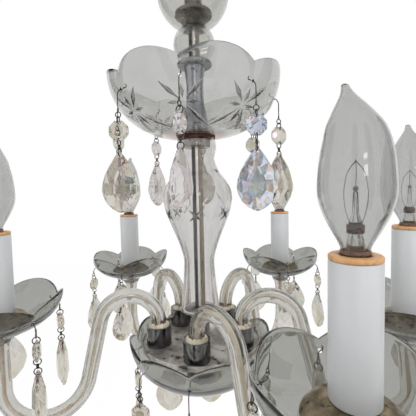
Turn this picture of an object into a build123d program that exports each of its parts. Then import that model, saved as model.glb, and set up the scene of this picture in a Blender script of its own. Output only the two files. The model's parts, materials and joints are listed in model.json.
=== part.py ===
"""Five-arm glass chandelier, hung from the loop at its origin, +Z up, millimetres."""
from math import asin, atan2, cos, degrees, pi, radians, sin, sqrt, tan
import os

from build123d import *

# Fits
fit_gap = 0.2            # between pieces that are stacked or slid together
bond_gap = 0.05          # between the glass of an arm and its plaster
swivel_gap = 0.3         # between an arm's plaster foot and its cup
thread_gap = 0.4         # between a bulb's base and its lampholder
link_gap = 0.12          # between two linked wires

# Rod and hanging loop
rod_d = 10.2
loop_bore_r = 10.0
loop_ring = 5.0          # width of the ring's metal
loop_thick = 6.0
shank_d = 12.0
shank_length = 4.0
cap_d = 44.0
cap_height = 14.0
cap_edge = 5.0           # straight side of the cap
cap_crown = 2.3          # how far the cap's top bulges
cap_spigot = 4.0         # depth of the spigot in the ball's mouth
rod_grip = 9.0           # how far the rod runs into the cap and into the finial

# Glass balls at the top of the column
ball_d = 67.0
ball_wall = 2.5
ball_mouth_r = 18.0
spacer_d = 39.0
spacer_height = 31.0
spacer_wall = 3.0

# Spool inside the large ball
inner_flange_d = 34.0
inner_flange_rise = 8.5
inner_flange_thick = 2.6
inner_neck_d = 16.0
inner_foot_d = 20.0
inner_foot_height = 3.0

# Spool that stands in the upper bowl
spool_height = 65.8
spool_flange_d = 33.0
spool_flange_thick = 5.5
spool_neck_d = 20.0
spool_waist_d = 16.0
spool_foot_d = 25.0
spool_foot_height = 5.0

# Upper bowl
bowl_rim_r = 80.0
bowl_base_r = 20.0
bowl_height = 57.0
bowl_wall = 3.6
bowl_petals = 8
bowl_notch_drop = 11.0
bowl_hole_drop = 13.0    # from a notch down to its string hole
bowl_turn = -3.0         # azimuth of the front notch
petal_flat = 0.3         # cut off the crown of each petal, on every bowl

# Washer and nuts
washer_d = 36.0
washer_thick = 1.5
neck_nut_d = 26.0
neck_nut_height = 8.0
neck_nut_edge = 1.3
lock_nut_width = 20.0
lock_nut_height = 6.0
lock_nut_sides = 6

# Baluster, with its stations measured down from the mouth
baluster_height = 163.4
baluster_wall = 3.0
baluster_mouth_r = 18.3
baluster_throat_r = 16.8
baluster_ring_r = 20.8
baluster_belly_r = 33.0
baluster_stem_r = 14.8
baluster_foot_r = 22.5
baluster_throat_at = 20.4
baluster_ring_at = 31.0
baluster_belly_at = 58.0
baluster_stem_at = 117.0

# Hub plate and arm cups
arm_count = 5
cup_circle_r = 41.1
cup_d = 23.5
cup_height = 18.0
cup_wall = 1.5
plate_r = 57.8
plate_thick = 1.5
plate_lip = 3.0
dome_height = 30.6
dome_shoulder = 1.2      # dome's top beyond the baluster's foot
dome_slope = 4.0         # how much wider the dome is at its foot than at its top

# Lower bowl and finial
dish_rim_r = 69.0
dish_base_r = 18.0
dish_height = 45.0
dish_wall = 3.5
dish_petals = 8
dish_notch_drop = 9.0
dish_hole_drop = 11.0
dish_turn = -4.0
dish_rim_rise = 7.5      # bowl's rim above the plate
finial_d = 30.0
finial_height = 22.0
finial_neck_d = 16.0
finial_tip_d = 11.0
finial_band = 3.7        # straight side at the finial's top
finial_neck_at = 13.2    # its neck below its top
finial_hollow = 1.8      # hollow of its side

# Arm tube, from its foot in the cup to the candle
tube_d = 14.0
tube_bore_d = 8.4
foot_rise = 3.0          # where the arch starts, above the cup's top
arch_r = 27.0
arch_turn = 167.0
fall_length = 55.0
trough_r = 45.0
lift_r = 30.0
flare_d = 28.0
flare_height = 20.0
flare_edge = 3.0
flare_hollow = 1.75      # hollow of the bell's side
bobeche_rise = 6.0       # underside of the bobeche above the cup's top
lead_d = 3.4
lead_tail = 4.0          # lead below the hub plate
arm_swivels = [40.0, 8.0, 2.0, 4.0, -6.0]

# Bobeche
bobeche_rim_r = 53.0
bobeche_base_r = 13.0
bobeche_height = 33.0
bobeche_wall = 3.2
bobeche_petals = 5
bobeche_notch_drop = 10.0
bobeche_hole_drop = 6.0

# Seat, lampholder, sleeve and bulb
nipple_d = 9.6
nipple_bore_d = 6.4
nipple_grip = 9.0        # nipple below the bobeche
seat_d = 53.0
seat_flat = 1.5          # seat's flat top beyond the sleeve
seat_dome = 10.5
seat_thick = 1.2
seat_fullness = 0.66     # height of the dome's side halfway in, as a share
sleeve_d = 25.0
sleeve_wall = 1.1
sleeve_length = 70.0
rim_height = 2.5
holder_height = 30.0
holder_floor = 5.0
base_d = 13.6
base_length = 22.0
base_proud = 0.8         # bulb's base above the lampholder's rim
bulb_d = 35.0
bulb_height = 80.0
bulb_belly_at = 31.0
bulb_neck_d = 13.0
bulb_tip_d = 3.2
bulb_wall = 0.8
bulb_neck_slope = 0.7    # how fast the glass widens at the neck and narrows at the tip
bulb_tip_slope = -0.3
stem_d = 5.0
stem_top_d = 3.0
stem_height = 20.0

# Prism strings
wire_d = 0.9
hook_play = 0.95         # between the hook and the edge of its hole
hook_reach = 5.0         # hook outside the middle of the wall
hook_inside = 4.0
hook_bend = 2.0
bowl_hook = 17.0         # hook lengths on the bowls and on the bobeches
bobeche_hook = 5.0
eye_r = 2.2
link_r = 2.9
button_width = 16.0
button_thick = 5.8
button_edge = 1.8
button_table = 9.0
button_sides = 8
button_hole_inset = 2.1
prism_hole_inset = 4.0
string_hole_r = 1.3
pin_length = 2.4
knot_d = 2.6
twist_d = 1.8            # twist that closes the eye of a hook
prism_width = 32.0
prism_length = 50.0
prism_thick = 10.0
prism_edge = 1.6
prism_table = 0.42       # share of the outline left flat in the middle
prism_belly = 1.45       # how low the widest place is
prism_round = 0.62       # how full the outline is
prism_steps = 7          # outline steps on each side
bowl_twists = [70, -35, -50, 20, -30, 22, -15, 20]    # turn of each string about its hook
dish_twists = [25, -20, 40, -30, 15, -40, 30, 0]
bobeche_twists = [15, -35, 50, -10, 30]

# Heights of the stacked column, from the loop down
rod_bore_r = rod_d / 2 + fit_gap
cap_top = -(loop_bore_r + loop_ring) - shank_length
cap_bottom = cap_top - cap_height
ball_r = ball_d / 2
spacer_r = spacer_d / 2
ball_foot_r = sqrt(spacer_r**2 - (spacer_height / 2) ** 2)
ball_mid = cap_bottom - fit_gap - sqrt(ball_r**2 - ball_mouth_r**2)
ball_bottom = ball_mid - sqrt(ball_r**2 - ball_foot_r**2)
spacer_top = ball_bottom - fit_gap
spool_top = spacer_top - spacer_height - fit_gap
spool_bottom = spool_top - spool_height
bowl_floor = spool_bottom - fit_gap
bowl_bottom = bowl_floor - bowl_wall
bowl_rim = bowl_bottom + bowl_height
washer_top = bowl_bottom - fit_gap
washer_bottom = washer_top - washer_thick
baluster_top = washer_bottom - fit_gap
baluster_bottom = baluster_top - baluster_height
dome_top = baluster_bottom - fit_gap
plate_top = dome_top - dome_height
plate_bottom = plate_top - plate_thick
cup_bottom = plate_top + fit_gap
cup_top = cup_bottom + cup_height
dish_rim = plate_top + dish_rim_rise
dish_bottom = dish_rim - dish_height
dish_floor = dish_bottom + dish_wall
finial_top = dish_bottom - fit_gap
rod_top = cap_bottom + rod_grip
rod_bottom = finial_top - rod_grip

# Heights and places along an arm, from its cup to its candle
fall_angle = radians(arch_turn - 90)
arm_reach = (
    arch_r * (1 - cos(radians(arch_turn)))
    + fall_length * cos(fall_angle)
    + trough_r * sin(fall_angle)
    + lift_r
)
plug_bottom = cup_bottom + cup_wall + fit_gap
arch_start = cup_top + foot_rise
bobeche_bottom = cup_top + bobeche_rise
bobeche_rim = bobeche_bottom + bobeche_height
flare_top = bobeche_bottom - fit_gap
flare_bottom = flare_top - flare_height
seat_r = seat_d / 2
seat_across = (seat_r - bobeche_base_r) / (bobeche_rim_r - bobeche_base_r - bobeche_wall)
seat_low = bobeche_rim - (bobeche_height - bobeche_wall) * sqrt(1 - seat_across**2) + fit_gap
seat_top = seat_low + seat_dome
sleeve_bottom = seat_top + fit_gap
sleeve_top = sleeve_bottom + sleeve_length
rim_bottom = sleeve_top + fit_gap
rim_top = rim_bottom + rim_height
holder_bottom = rim_top - holder_height
bulb_bottom = rim_top + base_proud

wire_r = wire_d / 2
lead_hole_r = tube_bore_d / 2
FROM_TOP = (Align.CENTER, Align.CENTER, Align.MAX)


def about(radius, azimuth, z=0.0):
    """A place on a circle about Z: azimuth 0 is -Y, it turns towards +X, and local +X points out."""
    turn = radians(azimuth)
    return Pos(radius * sin(turn), -radius * cos(turn), z) * Rot(0, 0, azimuth - 90)


def face_of(plane, *lines):
    """A flat face inside lines that are drawn in a plane's own x and y."""
    return make_face([edge for line in lines for edge in (plane * line).edges()])


def spun(*lines):
    """A solid of revolution about Z from lines drawn as (r, z)."""
    return revolve(face_of(Plane.XZ, *lines), Axis.Z)


def turned(*points):
    return spun(Polyline(*points, close=True))


def tube(outer_r, inner_r, bottom, top):
    return turned((inner_r, bottom), (outer_r, bottom), (outer_r, top), (inner_r, top))


def save(name, *pieces):
    solids = [solid for piece in pieces for solid in piece.solids()]
    shape = solids[0] if len(solids) == 1 else Compound(solids)
    export_step(shape, f"parts/{name}.step")


def hanging_loop():
    ring_r = loop_bore_r + loop_ring
    ring = Rot(90, 0, 0) * Cylinder(ring_r, loop_thick)
    bore = Rot(90, 0, 0) * Cylinder(loop_bore_r, 2 * loop_thick)
    shank = tube(shank_d / 2, 0, cap_top, -loop_bore_r - loop_ring / 2)
    shoulder = (cap_d / 2, cap_bottom + cap_edge)
    crown = (shank_d / 2, cap_top)
    middle = ((shoulder[0] + crown[0]) / 2, (shoulder[1] + crown[1]) / 2 + cap_crown)
    cap = spun(
        Polyline((0, cap_top), (0, cap_bottom), (cap_d / 2, cap_bottom), shoulder),
        ThreePointArc(shoulder, middle, crown),
        Line(crown, (0, cap_top)),
    )
    spigot_bore_r = inner_neck_d / 2 + fit_gap
    spigot = tube(ball_mouth_r - fit_gap, spigot_bore_r, cap_bottom - cap_spigot, cap_bottom)
    socket = tube(rod_bore_r, 0, cap_bottom - cap_spigot, rod_top + fit_gap)
    return (ring + shank - bore) + cap + spigot - socket


def upper_ball():
    shell = Sphere(ball_r) - Sphere(ball_r - ball_wall)
    foot = Pos(0, 0, ball_bottom - ball_mid) * Box(ball_d, ball_d, ball_d, align=FROM_TOP)
    bore = Cylinder(rod_bore_r, 2 * ball_d, align=FROM_TOP)
    mouth = Pos(0, 0, ball_d) * Cylinder(ball_mouth_r, ball_d, align=FROM_TOP)
    return Pos(0, 0, ball_mid) * (shell - foot - bore - mouth)


def ball_spool():
    foot_r = inner_foot_d / 2
    neck_r = inner_neck_d / 2
    foot = ball_mid - sqrt((ball_r - ball_wall) ** 2 - foot_r**2) + fit_gap
    flange = foot + inner_flange_rise
    flange_top = flange + inner_flange_thick
    top = cap_bottom - fit_gap
    return turned(
        (rod_bore_r, foot),
        (foot_r, foot),
        (foot_r, foot + inner_foot_height),
        (neck_r, foot + inner_foot_height),
        (neck_r, flange),
        (inner_flange_d / 2, flange),
        (inner_flange_d / 2, flange_top),
        (neck_r, flange_top),
        (neck_r, top),
        (rod_bore_r, top),
    )


def spacer_ball():
    ball = Sphere(spacer_r) - Sphere(spacer_r - spacer_wall)
    ends = Box(spacer_d, spacer_d, spacer_height)
    bore = Cylinder(rod_bore_r, 2 * spacer_height)
    return Pos(0, 0, spacer_top - spacer_height / 2) * ((ball & ends) - bore)


def bowl_spool():
    """Chrome spool: rounded flange, hollow-sided neck, flared foot."""
    edge_r = spool_flange_thick / 2
    flange_r = spool_flange_d / 2
    under = spool_top - spool_flange_thick
    neck = (spool_neck_d / 2, under)
    foot = (spool_foot_d / 2, spool_bottom + spool_foot_height)
    waist = (spool_waist_d / 2, (neck[1] + foot[1]) / 2)
    return spun(
        Line((rod_bore_r, spool_top), (flange_r - edge_r, spool_top)),
        ThreePointArc(
            (flange_r - edge_r, spool_top),
            (flange_r, spool_top - edge_r),
            (flange_r - edge_r, under),
        ),
        Line((flange_r - edge_r, under), neck),
        ThreePointArc(neck, waist, foot),
        Polyline(foot, (foot[0], spool_bottom), (rod_bore_r, spool_bottom), (rod_bore_r, spool_top)),
    )


def wall_hole(rim_r, base_r, height, wall, drop):
    """Middle of a bowl's wall at a depth below its rim: radius, height and downward tilt in degrees."""
    across = rim_r - base_r - wall / 2
    down = height - wall / 2
    turn = asin(drop / down)
    tilt = degrees(atan2(sin(turn) / down, cos(turn) / across))
    return base_r + across * cos(turn), -drop, tilt


def petal_bowl(rim_r, base_r, height, wall, bore_r, petals, notch_drop, hole):
    """Scalloped glass bowl with its rim at z = 0 and a notch, over a string hole, at azimuth 0."""
    floor = wall - height
    bowl = spun(
        Line((bore_r, -height), (base_r, -height)),
        EllipticalCenterArc((base_r, 0), rim_r - base_r, height, -90, arc_size=90),
        Line((rim_r, 0), (rim_r - wall, 0)),
        EllipticalCenterArc((base_r, 0), rim_r - base_r - wall, -floor, -90, arc_size=90),
        Polyline((base_r, floor), (bore_r, floor), (bore_r, -height)),
    )
    half = rim_r * sin(pi / petals)
    notch = (0, -notch_drop)
    gap = face_of(
        Plane.YZ,
        TangentArc((half, petal_flat), notch, tangent=(-1, 0)),
        TangentArc((-half, petal_flat), notch, tangent=(1, 0)),
        Polyline((half, petal_flat), (half, wall), (-half, wall), (-half, petal_flat)),
    )
    cutter = extrude(gap, 2 * rim_r)
    step = 360 / petals
    radius, z, tilt = hole
    drill = Pos(radius, 0, z) * Rot(0, 90 + tilt, 0) * Cylinder(wire_r + hook_play, 4 * wall)
    for k in range(petals):
        bowl -= about(0, k * step) * cutter
        bowl -= about(0, k * step) * drill
    return bowl


def washer():
    return tube(washer_d / 2, rod_bore_r, washer_bottom, washer_top)


def neck_nut():
    top = washer_bottom - fit_gap
    edge = neck_nut_edge
    r = neck_nut_d / 2
    bottom = top - neck_nut_height
    return turned(
        (rod_bore_r, bottom),
        (r - edge, bottom),
        (r, bottom + edge),
        (r, top - edge),
        (r - edge, top),
        (rod_bore_r, top),
    )


def lock_nut(bottom):
    hexagon = RegularPolygon(lock_nut_width / 2, lock_nut_sides, major_radius=False) - Circle(rod_bore_r)
    return extrude(Pos(0, 0, bottom) * hexagon, lock_nut_height)


def baluster_edge(inset):
    """One side of the baluster from mouth to foot, moved inwards by a wall."""
    stations = [
        (baluster_mouth_r, 0),
        (baluster_throat_r, baluster_throat_at),
        (baluster_ring_r, baluster_ring_at),
        (baluster_belly_r, baluster_belly_at),
        (baluster_stem_r, baluster_stem_at),
        (baluster_foot_r, baluster_height),
    ]
    points = [(r - inset, baluster_top - down) for r, down in stations]
    upper = Spline(points[0], points[1], points[2], tangents=[(0, -1), (1, -1)])
    lower = Spline(*points[2:], tangents=[(1, -1), (1, -1)])
    return points, upper, lower


def baluster():
    outer, outer_upper, outer_lower = baluster_edge(0)
    inner, inner_upper, inner_lower = baluster_edge(baluster_wall)
    return spun(
        outer_upper,
        outer_lower,
        Line(outer[-1], inner[-1]),
        inner_lower,
        inner_upper,
        Line(inner[0], outer[0]),
    )


def central_rod():
    return tube(rod_d / 2, 0, rod_bottom, rod_top)


def hub_plate():
    """Thin pressed plate: flat ring with a turned-up lip, and a dome under the baluster."""
    dome_r = baluster_foot_r + dome_shoulder
    foot_r = dome_r + dome_slope
    under = dome_top - plate_thick
    plate = turned(
        (rod_bore_r, dome_top),
        (dome_r, dome_top),
        (foot_r, plate_top),
        (plate_r - plate_thick, plate_top),
        (plate_r - plate_thick, plate_top + plate_lip),
        (plate_r, plate_top + plate_lip),
        (plate_r, plate_bottom),
        (foot_r - plate_thick, plate_bottom),
        (dome_r - plate_thick, under),
        (rod_bore_r, under),
    )
    for k in range(arm_count):
        place = about(cup_circle_r, k * 360 / arm_count, plate_top + plate_lip)
        plate -= place * Cylinder(lead_hole_r, 2 * plate_thick + plate_lip, align=FROM_TOP)
    return plate


def hub_cup():
    floor = cup_bottom + cup_wall
    r = cup_d / 2
    return turned(
        (lead_hole_r, cup_bottom),
        (r, cup_bottom),
        (r, cup_top),
        (r - cup_wall, cup_top),
        (r - cup_wall, floor),
        (lead_hole_r, floor),
    )


def bottom_finial():
    bottom = finial_top - finial_height
    wide = (finial_d / 2, finial_top - finial_band)
    neck = (finial_neck_d / 2, finial_top - finial_neck_at)
    middle = ((wide[0] + neck[0]) / 2, (wide[1] + neck[1]) / 2 - finial_hollow)
    tip_r = finial_tip_d / 2
    knob = spun(
        Polyline((0, bottom), (0, finial_top), (wide[0], finial_top), wide),
        ThreePointArc(wide, middle, neck),
        Line(neck, (tip_r, bottom + tip_r)),
        CenterArc((0, bottom + tip_r), tip_r, -90, 90),
    )
    return knob - tube(rod_bore_r, 0, rod_bottom - fit_gap, finial_top)


def arm_route(start, end):
    """Middle line of an arm, from a height on the cup's axis to a height on the candle's axis."""
    foot = Line((0, start), (0, arch_start))
    arch = JernArc(foot @ 1, (0, 1), arch_r, -arch_turn)
    fall = Line(arch @ 1, arch @ 1 + (arch % 1) * fall_length)
    trough = JernArc(fall @ 1, fall % 1, trough_r, arch_turn - 90)
    lift = JernArc(trough @ 1, trough % 1, lift_r, 90)
    rise = Line(lift @ 1, (arm_reach, end))
    return Plane.XZ * (foot + arch + fall + trough + lift + rise)


def swept_round(diameter, start, end):
    return sweep(Pos(0, 0, start) * Circle(diameter / 2), arm_route(start, end))


def arm_tube():
    """Bent glass tube with a bell under the bobeche; its lead runs in the bore."""
    glass = swept_round(tube_d, plug_bottom, flare_bottom)
    edge = (flare_d / 2, flare_top - flare_edge)
    waist = (tube_d / 2, flare_bottom)
    middle = ((edge[0] + waist[0]) / 2 - flare_hollow, (edge[1] + waist[1]) / 2)
    bell = spun(
        ThreePointArc(waist, middle, edge),
        Polyline(edge, (edge[0], flare_top), (0, flare_top), (0, flare_bottom), waist),
    )
    nipple_hole = tube(nipple_d / 2 + fit_gap, 0, flare_top - nipple_grip - fit_gap, flare_top)
    bore = swept_round(tube_bore_d, plug_bottom, flare_top)
    return (glass + Pos(arm_reach, 0, 0) * bell) - bore - Pos(arm_reach, 0, 0) * nipple_hole


def plaster_plug():
    return tube(cup_d / 2 - cup_wall - swivel_gap, tube_d / 2 + bond_gap, plug_bottom, cup_top)


def lead():
    return swept_round(lead_d, plate_bottom - lead_tail, holder_bottom - fit_gap)


def candle_seat():
    """Domed metal pan in the bobeche, which carries the sleeve."""
    hole_r = nipple_d / 2 + fit_gap
    flat_r = sleeve_d / 2 + seat_flat

    def side(low, high, rim_r):
        bulge = ((flat_r + rim_r) / 2, low + (high - low) * seat_fullness)
        return ThreePointArc((rim_r, low), bulge, (flat_r, high))

    under = seat_top - seat_thick
    outer = side(seat_low, seat_top, seat_r)
    inner = side(seat_low, under, seat_r - seat_thick)
    return spun(
        Line((seat_r - seat_thick, seat_low), (seat_r, seat_low)),
        outer,
        Polyline((flat_r, seat_top), (hole_r, seat_top), (hole_r, under), (flat_r, under)),
        inner,
    )


def nipple():
    return tube(nipple_d / 2, nipple_bore_d / 2, flare_top - nipple_grip, holder_bottom - fit_gap)


def lampholder():
    body_r = sleeve_d / 2 - sleeve_wall - fit_gap
    bore_r = base_d / 2 + thread_gap
    floor = holder_bottom + holder_floor
    return turned(
        (0, holder_bottom),
        (body_r, holder_bottom),
        (body_r, rim_bottom),
        (sleeve_d / 2, rim_bottom),
        (sleeve_d / 2, rim_top),
        (bore_r, rim_top),
        (bore_r, floor),
        (0, floor),
    )


def sleeve():
    return tube(sleeve_d / 2, sleeve_d / 2 - sleeve_wall, sleeve_bottom, sleeve_top)


def bulb_form(inset):
    """Flame-shaped solid on the lampholder's rim, its skin moved inwards by a wall."""
    neck = (bulb_neck_d / 2 - inset, bulb_bottom)
    belly = (bulb_d / 2 - inset, bulb_bottom + bulb_belly_at)
    tip = (bulb_tip_d / 2 - inset, bulb_bottom + bulb_height - inset)
    skin = Spline(neck, belly, tip, tangents=[(bulb_neck_slope, 1), (bulb_tip_slope, 1)])
    return spun(skin, Polyline(tip, (0, tip[1]), (0, neck[1]), neck))


def bulb():
    envelope = bulb_form(0) - bulb_form(bulb_wall)
    base_top = bulb_bottom - fit_gap
    base = tube(base_d / 2, 0, rim_top - base_length, base_top)
    stem = turned(
        (0, bulb_bottom),
        (stem_d / 2, bulb_bottom),
        (stem_top_d / 2, bulb_bottom + stem_height),
        (0, bulb_bottom + stem_height),
    )
    return [envelope, base, stem]


def prism_outline(scale):
    """Pear outline hung from its top point, drawn smaller about its widest place."""
    def half_width(u):
        return prism_width / 2 * abs(sin(pi * u**prism_belly)) ** prism_round

    steps = [(1 - cos(pi * k / prism_steps)) / 2 for k in range(prism_steps + 1)]
    right = [(half_width(u), -prism_length * u) for u in steps]
    left = [(-y, z) for y, z in right[-2:0:-1]]
    middle = -prism_length * 0.5 ** (1 / prism_belly)
    return [(y * scale, middle + (z - middle) * scale) for y, z in right + left]


def prism():
    """Faceted pear prism with its hanging hole at the origin."""
    layers = []
    for x, scale in (
        (-prism_thick / 2, prism_table),
        (-prism_edge / 2, 1),
        (prism_edge / 2, 1),
        (prism_thick / 2, prism_table),
    ):
        layers.append(face_of(Plane.YZ.offset(x), Polyline(*prism_outline(scale), close=True)))
    hole = Rot(0, 90, 0) * Cylinder(string_hole_r, 2 * prism_thick)
    return Pos(0, 0, prism_hole_inset) * loft(layers, ruled=True) - hole


def button():
    """Octagon button with a bevelled front and back and a hole at its top and bottom."""
    layers = []
    for x, width in (
        (-button_thick / 2, button_table),
        (-button_edge / 2, button_width),
        (button_edge / 2, button_width),
        (button_thick / 2, button_table),
    ):
        octagon = RegularPolygon(width / 2, button_sides, major_radius=False, rotation=180 / button_sides)
        layers.append(Plane.YZ.offset(x) * octagon)
    glass = loft(layers, ruled=True)
    for side in (-1, 1):
        place = Pos(0, 0, side * (button_width / 2 - button_hole_inset))
        glass -= place * Rot(0, 90, 0) * Cylinder(string_hole_r, 2 * button_thick)
    return glass


def hook(tilt, length, twist):
    """Wire through a wall hole at the origin, down to its eye; gives the eye's middle too."""
    slope = radians(tilt)
    inside = (-hook_inside * cos(slope), hook_inside * sin(slope))
    corner = (hook_reach, -hook_reach * tan(slope))
    end = (hook_reach, corner[1] - length)
    route = Plane.XZ * FilletPolyline(inside, corner, end, radius=hook_bend)
    start = Plane(origin=route @ 0, z_dir=route % 0)
    wire = sweep(start * Circle(wire_r), route)
    eye_z = end[1] - eye_r
    knot = Pos(hook_reach, 0, end[1]) * Sphere(twist_d / 2)
    eye = Pos(hook_reach, 0, eye_z) * Rot(0, 0, twist) * Rot(0, 90, 0) * Torus(eye_r, wire_r)
    return wire + knot + eye, eye_z


def ring(z):
    """Wire ring in the plane of the string's swing."""
    return Pos(0, 0, z) * Rot(90, 0, 0) * Torus(link_r, wire_r)


def pin(top):
    """Two wire eyes joined by a wound knot; top is the middle of the wire in the upper hole."""
    upper = top - link_r
    lower = upper - 2 * link_r - pin_length
    knot = tube(knot_d / 2, 0, lower + link_r - wire_d, upper - link_r + wire_d)
    return knot + ring(upper) + ring(lower), lower - link_r


def prism_string(tilt, length, twist):
    """Hook, ring, button, pin and prism, hung from a wall hole at the origin."""
    wire, eye_z = hook(tilt, length, twist)
    ring_z = eye_z - eye_r + wire_d + link_gap - link_r
    hole_z = ring_z - link_r
    button_z = hole_z - button_width / 2 + button_hole_inset
    pinned, prism_z = pin(2 * button_z - hole_z)
    hang = Pos(hook_reach, 0, 0) * Rot(0, 0, twist)
    return [
        wire,
        hang * ring(ring_z),
        hang * Pos(0, 0, button_z) * button(),
        hang * pinned,
        hang * Pos(0, 0, prism_z) * prism(),
    ]


def strings_at(place, hole, count, length, twists):
    """Prism strings in the holes of a bowl, one list of solids for each."""
    radius, z, tilt = hole
    for k in range(count):
        hung = place * about(radius, k * 360 / count, z)
        yield [hung * piece for piece in prism_string(tilt, length, twists[k % len(twists)])]


def save_column():
    bowl_hole = wall_hole(bowl_rim_r, bowl_base_r, bowl_height, bowl_wall, bowl_notch_drop + bowl_hole_drop)
    dish_hole = wall_hole(dish_rim_r, dish_base_r, dish_height, dish_wall, dish_notch_drop + dish_hole_drop)
    bowl_place = Pos(0, 0, bowl_rim) * Rot(0, 0, bowl_turn)
    dish_place = Pos(0, 0, dish_rim) * Rot(0, 0, dish_turn)
    bowl = petal_bowl(
        bowl_rim_r,
        bowl_base_r,
        bowl_height,
        bowl_wall,
        rod_bore_r,
        bowl_petals,
        bowl_notch_drop,
        bowl_hole,
    )
    dish = petal_bowl(
        dish_rim_r,
        dish_base_r,
        dish_height,
        dish_wall,
        rod_bore_r,
        dish_petals,
        dish_notch_drop,
        dish_hole,
    )
    cup = hub_cup()
    save("hanging_loop", hanging_loop())
    save("upper_ball", upper_ball())
    save("ball_spool", ball_spool())
    save("spacer_ball", spacer_ball())
    save("bowl_spool", bowl_spool())
    save("upper_bowl", bowl_place * bowl)
    save("bowl_washer", washer())
    save("rod_nuts", neck_nut(), lock_nut(dome_top - plate_thick - fit_gap - lock_nut_height),
         lock_nut(dish_floor + fit_gap))
    save("baluster", baluster())
    save("central_rod", central_rod())
    save("hub_plate", hub_plate())
    save("hub_cups", *[about(cup_circle_r, k * 360 / arm_count) * cup for k in range(arm_count)])
    save("lower_bowl", dish_place * dish)
    save("bottom_finial", bottom_finial())
    upper = strings_at(bowl_place, bowl_hole, bowl_petals, bowl_hook, bowl_twists)
    for k, pieces in enumerate(upper, 1):
        save(f"upper_string_{k}", *pieces)
    lower = strings_at(dish_place, dish_hole, dish_petals, bowl_hook, dish_twists)
    for k, pieces in enumerate(lower, 1):
        save(f"lower_string_{k}", *pieces)


def save_arms():
    hole = wall_hole(
        bobeche_rim_r,
        bobeche_base_r,
        bobeche_height,
        bobeche_wall,
        bobeche_notch_drop + bobeche_hole_drop,
    )
    dish_place = Pos(arm_reach, 0, bobeche_rim) * Rot(0, 0, 90)
    candle = Pos(arm_reach, 0, 0)
    dish = petal_bowl(
        bobeche_rim_r,
        bobeche_base_r,
        bobeche_height,
        bobeche_wall,
        nipple_d / 2 + fit_gap,
        bobeche_petals,
        bobeche_notch_drop,
        hole,
    )
    hung = strings_at(dish_place, hole, bobeche_petals, bobeche_hook, bobeche_twists)
    strings = [piece for pieces in hung for piece in pieces]
    kinds = {
        "": [arm_tube(), plaster_plug()],
        "_bobeche": [dish_place * dish],
        "_lampholder": [candle * candle_seat(), candle * nipple(), candle * lampholder(), lead()],
        "_sleeve": [candle * sleeve()],
        "_bulb": [candle * piece for piece in bulb()],
        "_strings": strings,
    }
    for k, swivel in enumerate(arm_swivels):
        place = about(cup_circle_r, k * 360 / arm_count) * Rot(0, 0, swivel)
        for ending, pieces in kinds.items():
            save(f"arm_{k + 1}{ending}", *[place * piece for piece in pieces])


os.makedirs("parts", exist_ok=True)
save_column()
save_arms()
print(f"cup top {cup_top:.2f}, arm reach {arm_reach:.2f}, candle rim {rim_top:.2f}")
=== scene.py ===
import json
import math

import bpy
from mathutils import Matrix, Vector


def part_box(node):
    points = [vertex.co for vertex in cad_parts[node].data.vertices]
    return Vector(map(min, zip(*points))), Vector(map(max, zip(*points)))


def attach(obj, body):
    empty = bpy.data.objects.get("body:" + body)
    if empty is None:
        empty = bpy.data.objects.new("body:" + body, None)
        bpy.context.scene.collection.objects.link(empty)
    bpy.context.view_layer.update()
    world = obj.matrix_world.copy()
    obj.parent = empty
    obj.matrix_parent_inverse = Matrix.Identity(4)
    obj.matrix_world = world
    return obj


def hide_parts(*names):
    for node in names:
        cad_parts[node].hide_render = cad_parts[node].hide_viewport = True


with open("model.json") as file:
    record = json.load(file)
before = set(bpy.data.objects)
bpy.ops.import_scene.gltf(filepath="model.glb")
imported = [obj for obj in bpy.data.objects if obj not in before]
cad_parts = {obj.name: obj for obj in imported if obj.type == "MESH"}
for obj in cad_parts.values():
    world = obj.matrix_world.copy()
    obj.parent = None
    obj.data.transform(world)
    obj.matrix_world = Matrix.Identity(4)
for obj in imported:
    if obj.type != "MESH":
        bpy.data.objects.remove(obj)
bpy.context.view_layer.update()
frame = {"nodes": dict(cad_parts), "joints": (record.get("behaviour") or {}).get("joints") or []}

# Sizes are in millimetres, and become metres where a mesh is made
mm = 0.001
joints = {joint["name"]: joint for joint in frame["joints"]}
scene = bpy.context.scene


def zSpan(node):
    low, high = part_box(node)
    return low.z / mm, high.z / mm


def jointPlace(name):
    return Vector(joints[name]["pos_m"]) / mm


# Places on the column and on the arms, all from the frame
armCount = sum(1 for name in joints if name.endswith("_swivel"))
cupTop = jointPlace("arm_1_swivel").z
candleRim = jointPlace("bulb_1_turn").z


def armFrame(k):
    # the arm is modelled along +X from its cup's axis, and this puts it on arm k
    cup = jointPlace(f"arm_{k}_swivel")
    candle = jointPlace(f"bulb_{k}_turn")
    heading = math.atan2(candle.y - cup.y, candle.x - cup.x)
    return Matrix.Translation((cup.x * mm, cup.y * mm, 0)) @ Matrix.Rotation(heading, 4, "Z")


def armReach():
    cup = jointPlace("arm_1_swivel")
    candle = jointPlace("bulb_1_turn")
    return math.hypot(candle.x - cup.x, candle.y - cup.y)


def stringFrame(name):
    # a string is modelled from its hole at the origin, with +X pointing out of the bowl
    hole = jointPlace(f"{name}_swing")
    return Matrix.Translation(hole * mm) @ Matrix.Rotation(math.atan2(hole.y, hole.x), 4, "Z")


# Modelling by hand: small helpers round the operators
def deselect():
    if bpy.context.mode != "OBJECT":
        bpy.ops.object.mode_set(mode="OBJECT")
    bpy.ops.object.select_all(action="DESELECT")


def pickOnly(*objs):
    deselect()
    for obj in objs:
        obj.select_set(True)
    bpy.context.view_layer.objects.active = objs[0]


def editAll(obj):
    pickOnly(obj)
    bpy.ops.object.mode_set(mode="EDIT")
    bpy.ops.mesh.select_all(action="SELECT")


def toObject():
    bpy.ops.object.mode_set(mode="OBJECT")


def named(name):
    obj = bpy.context.object
    obj.name = name
    obj.data.name = name
    return obj


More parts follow.
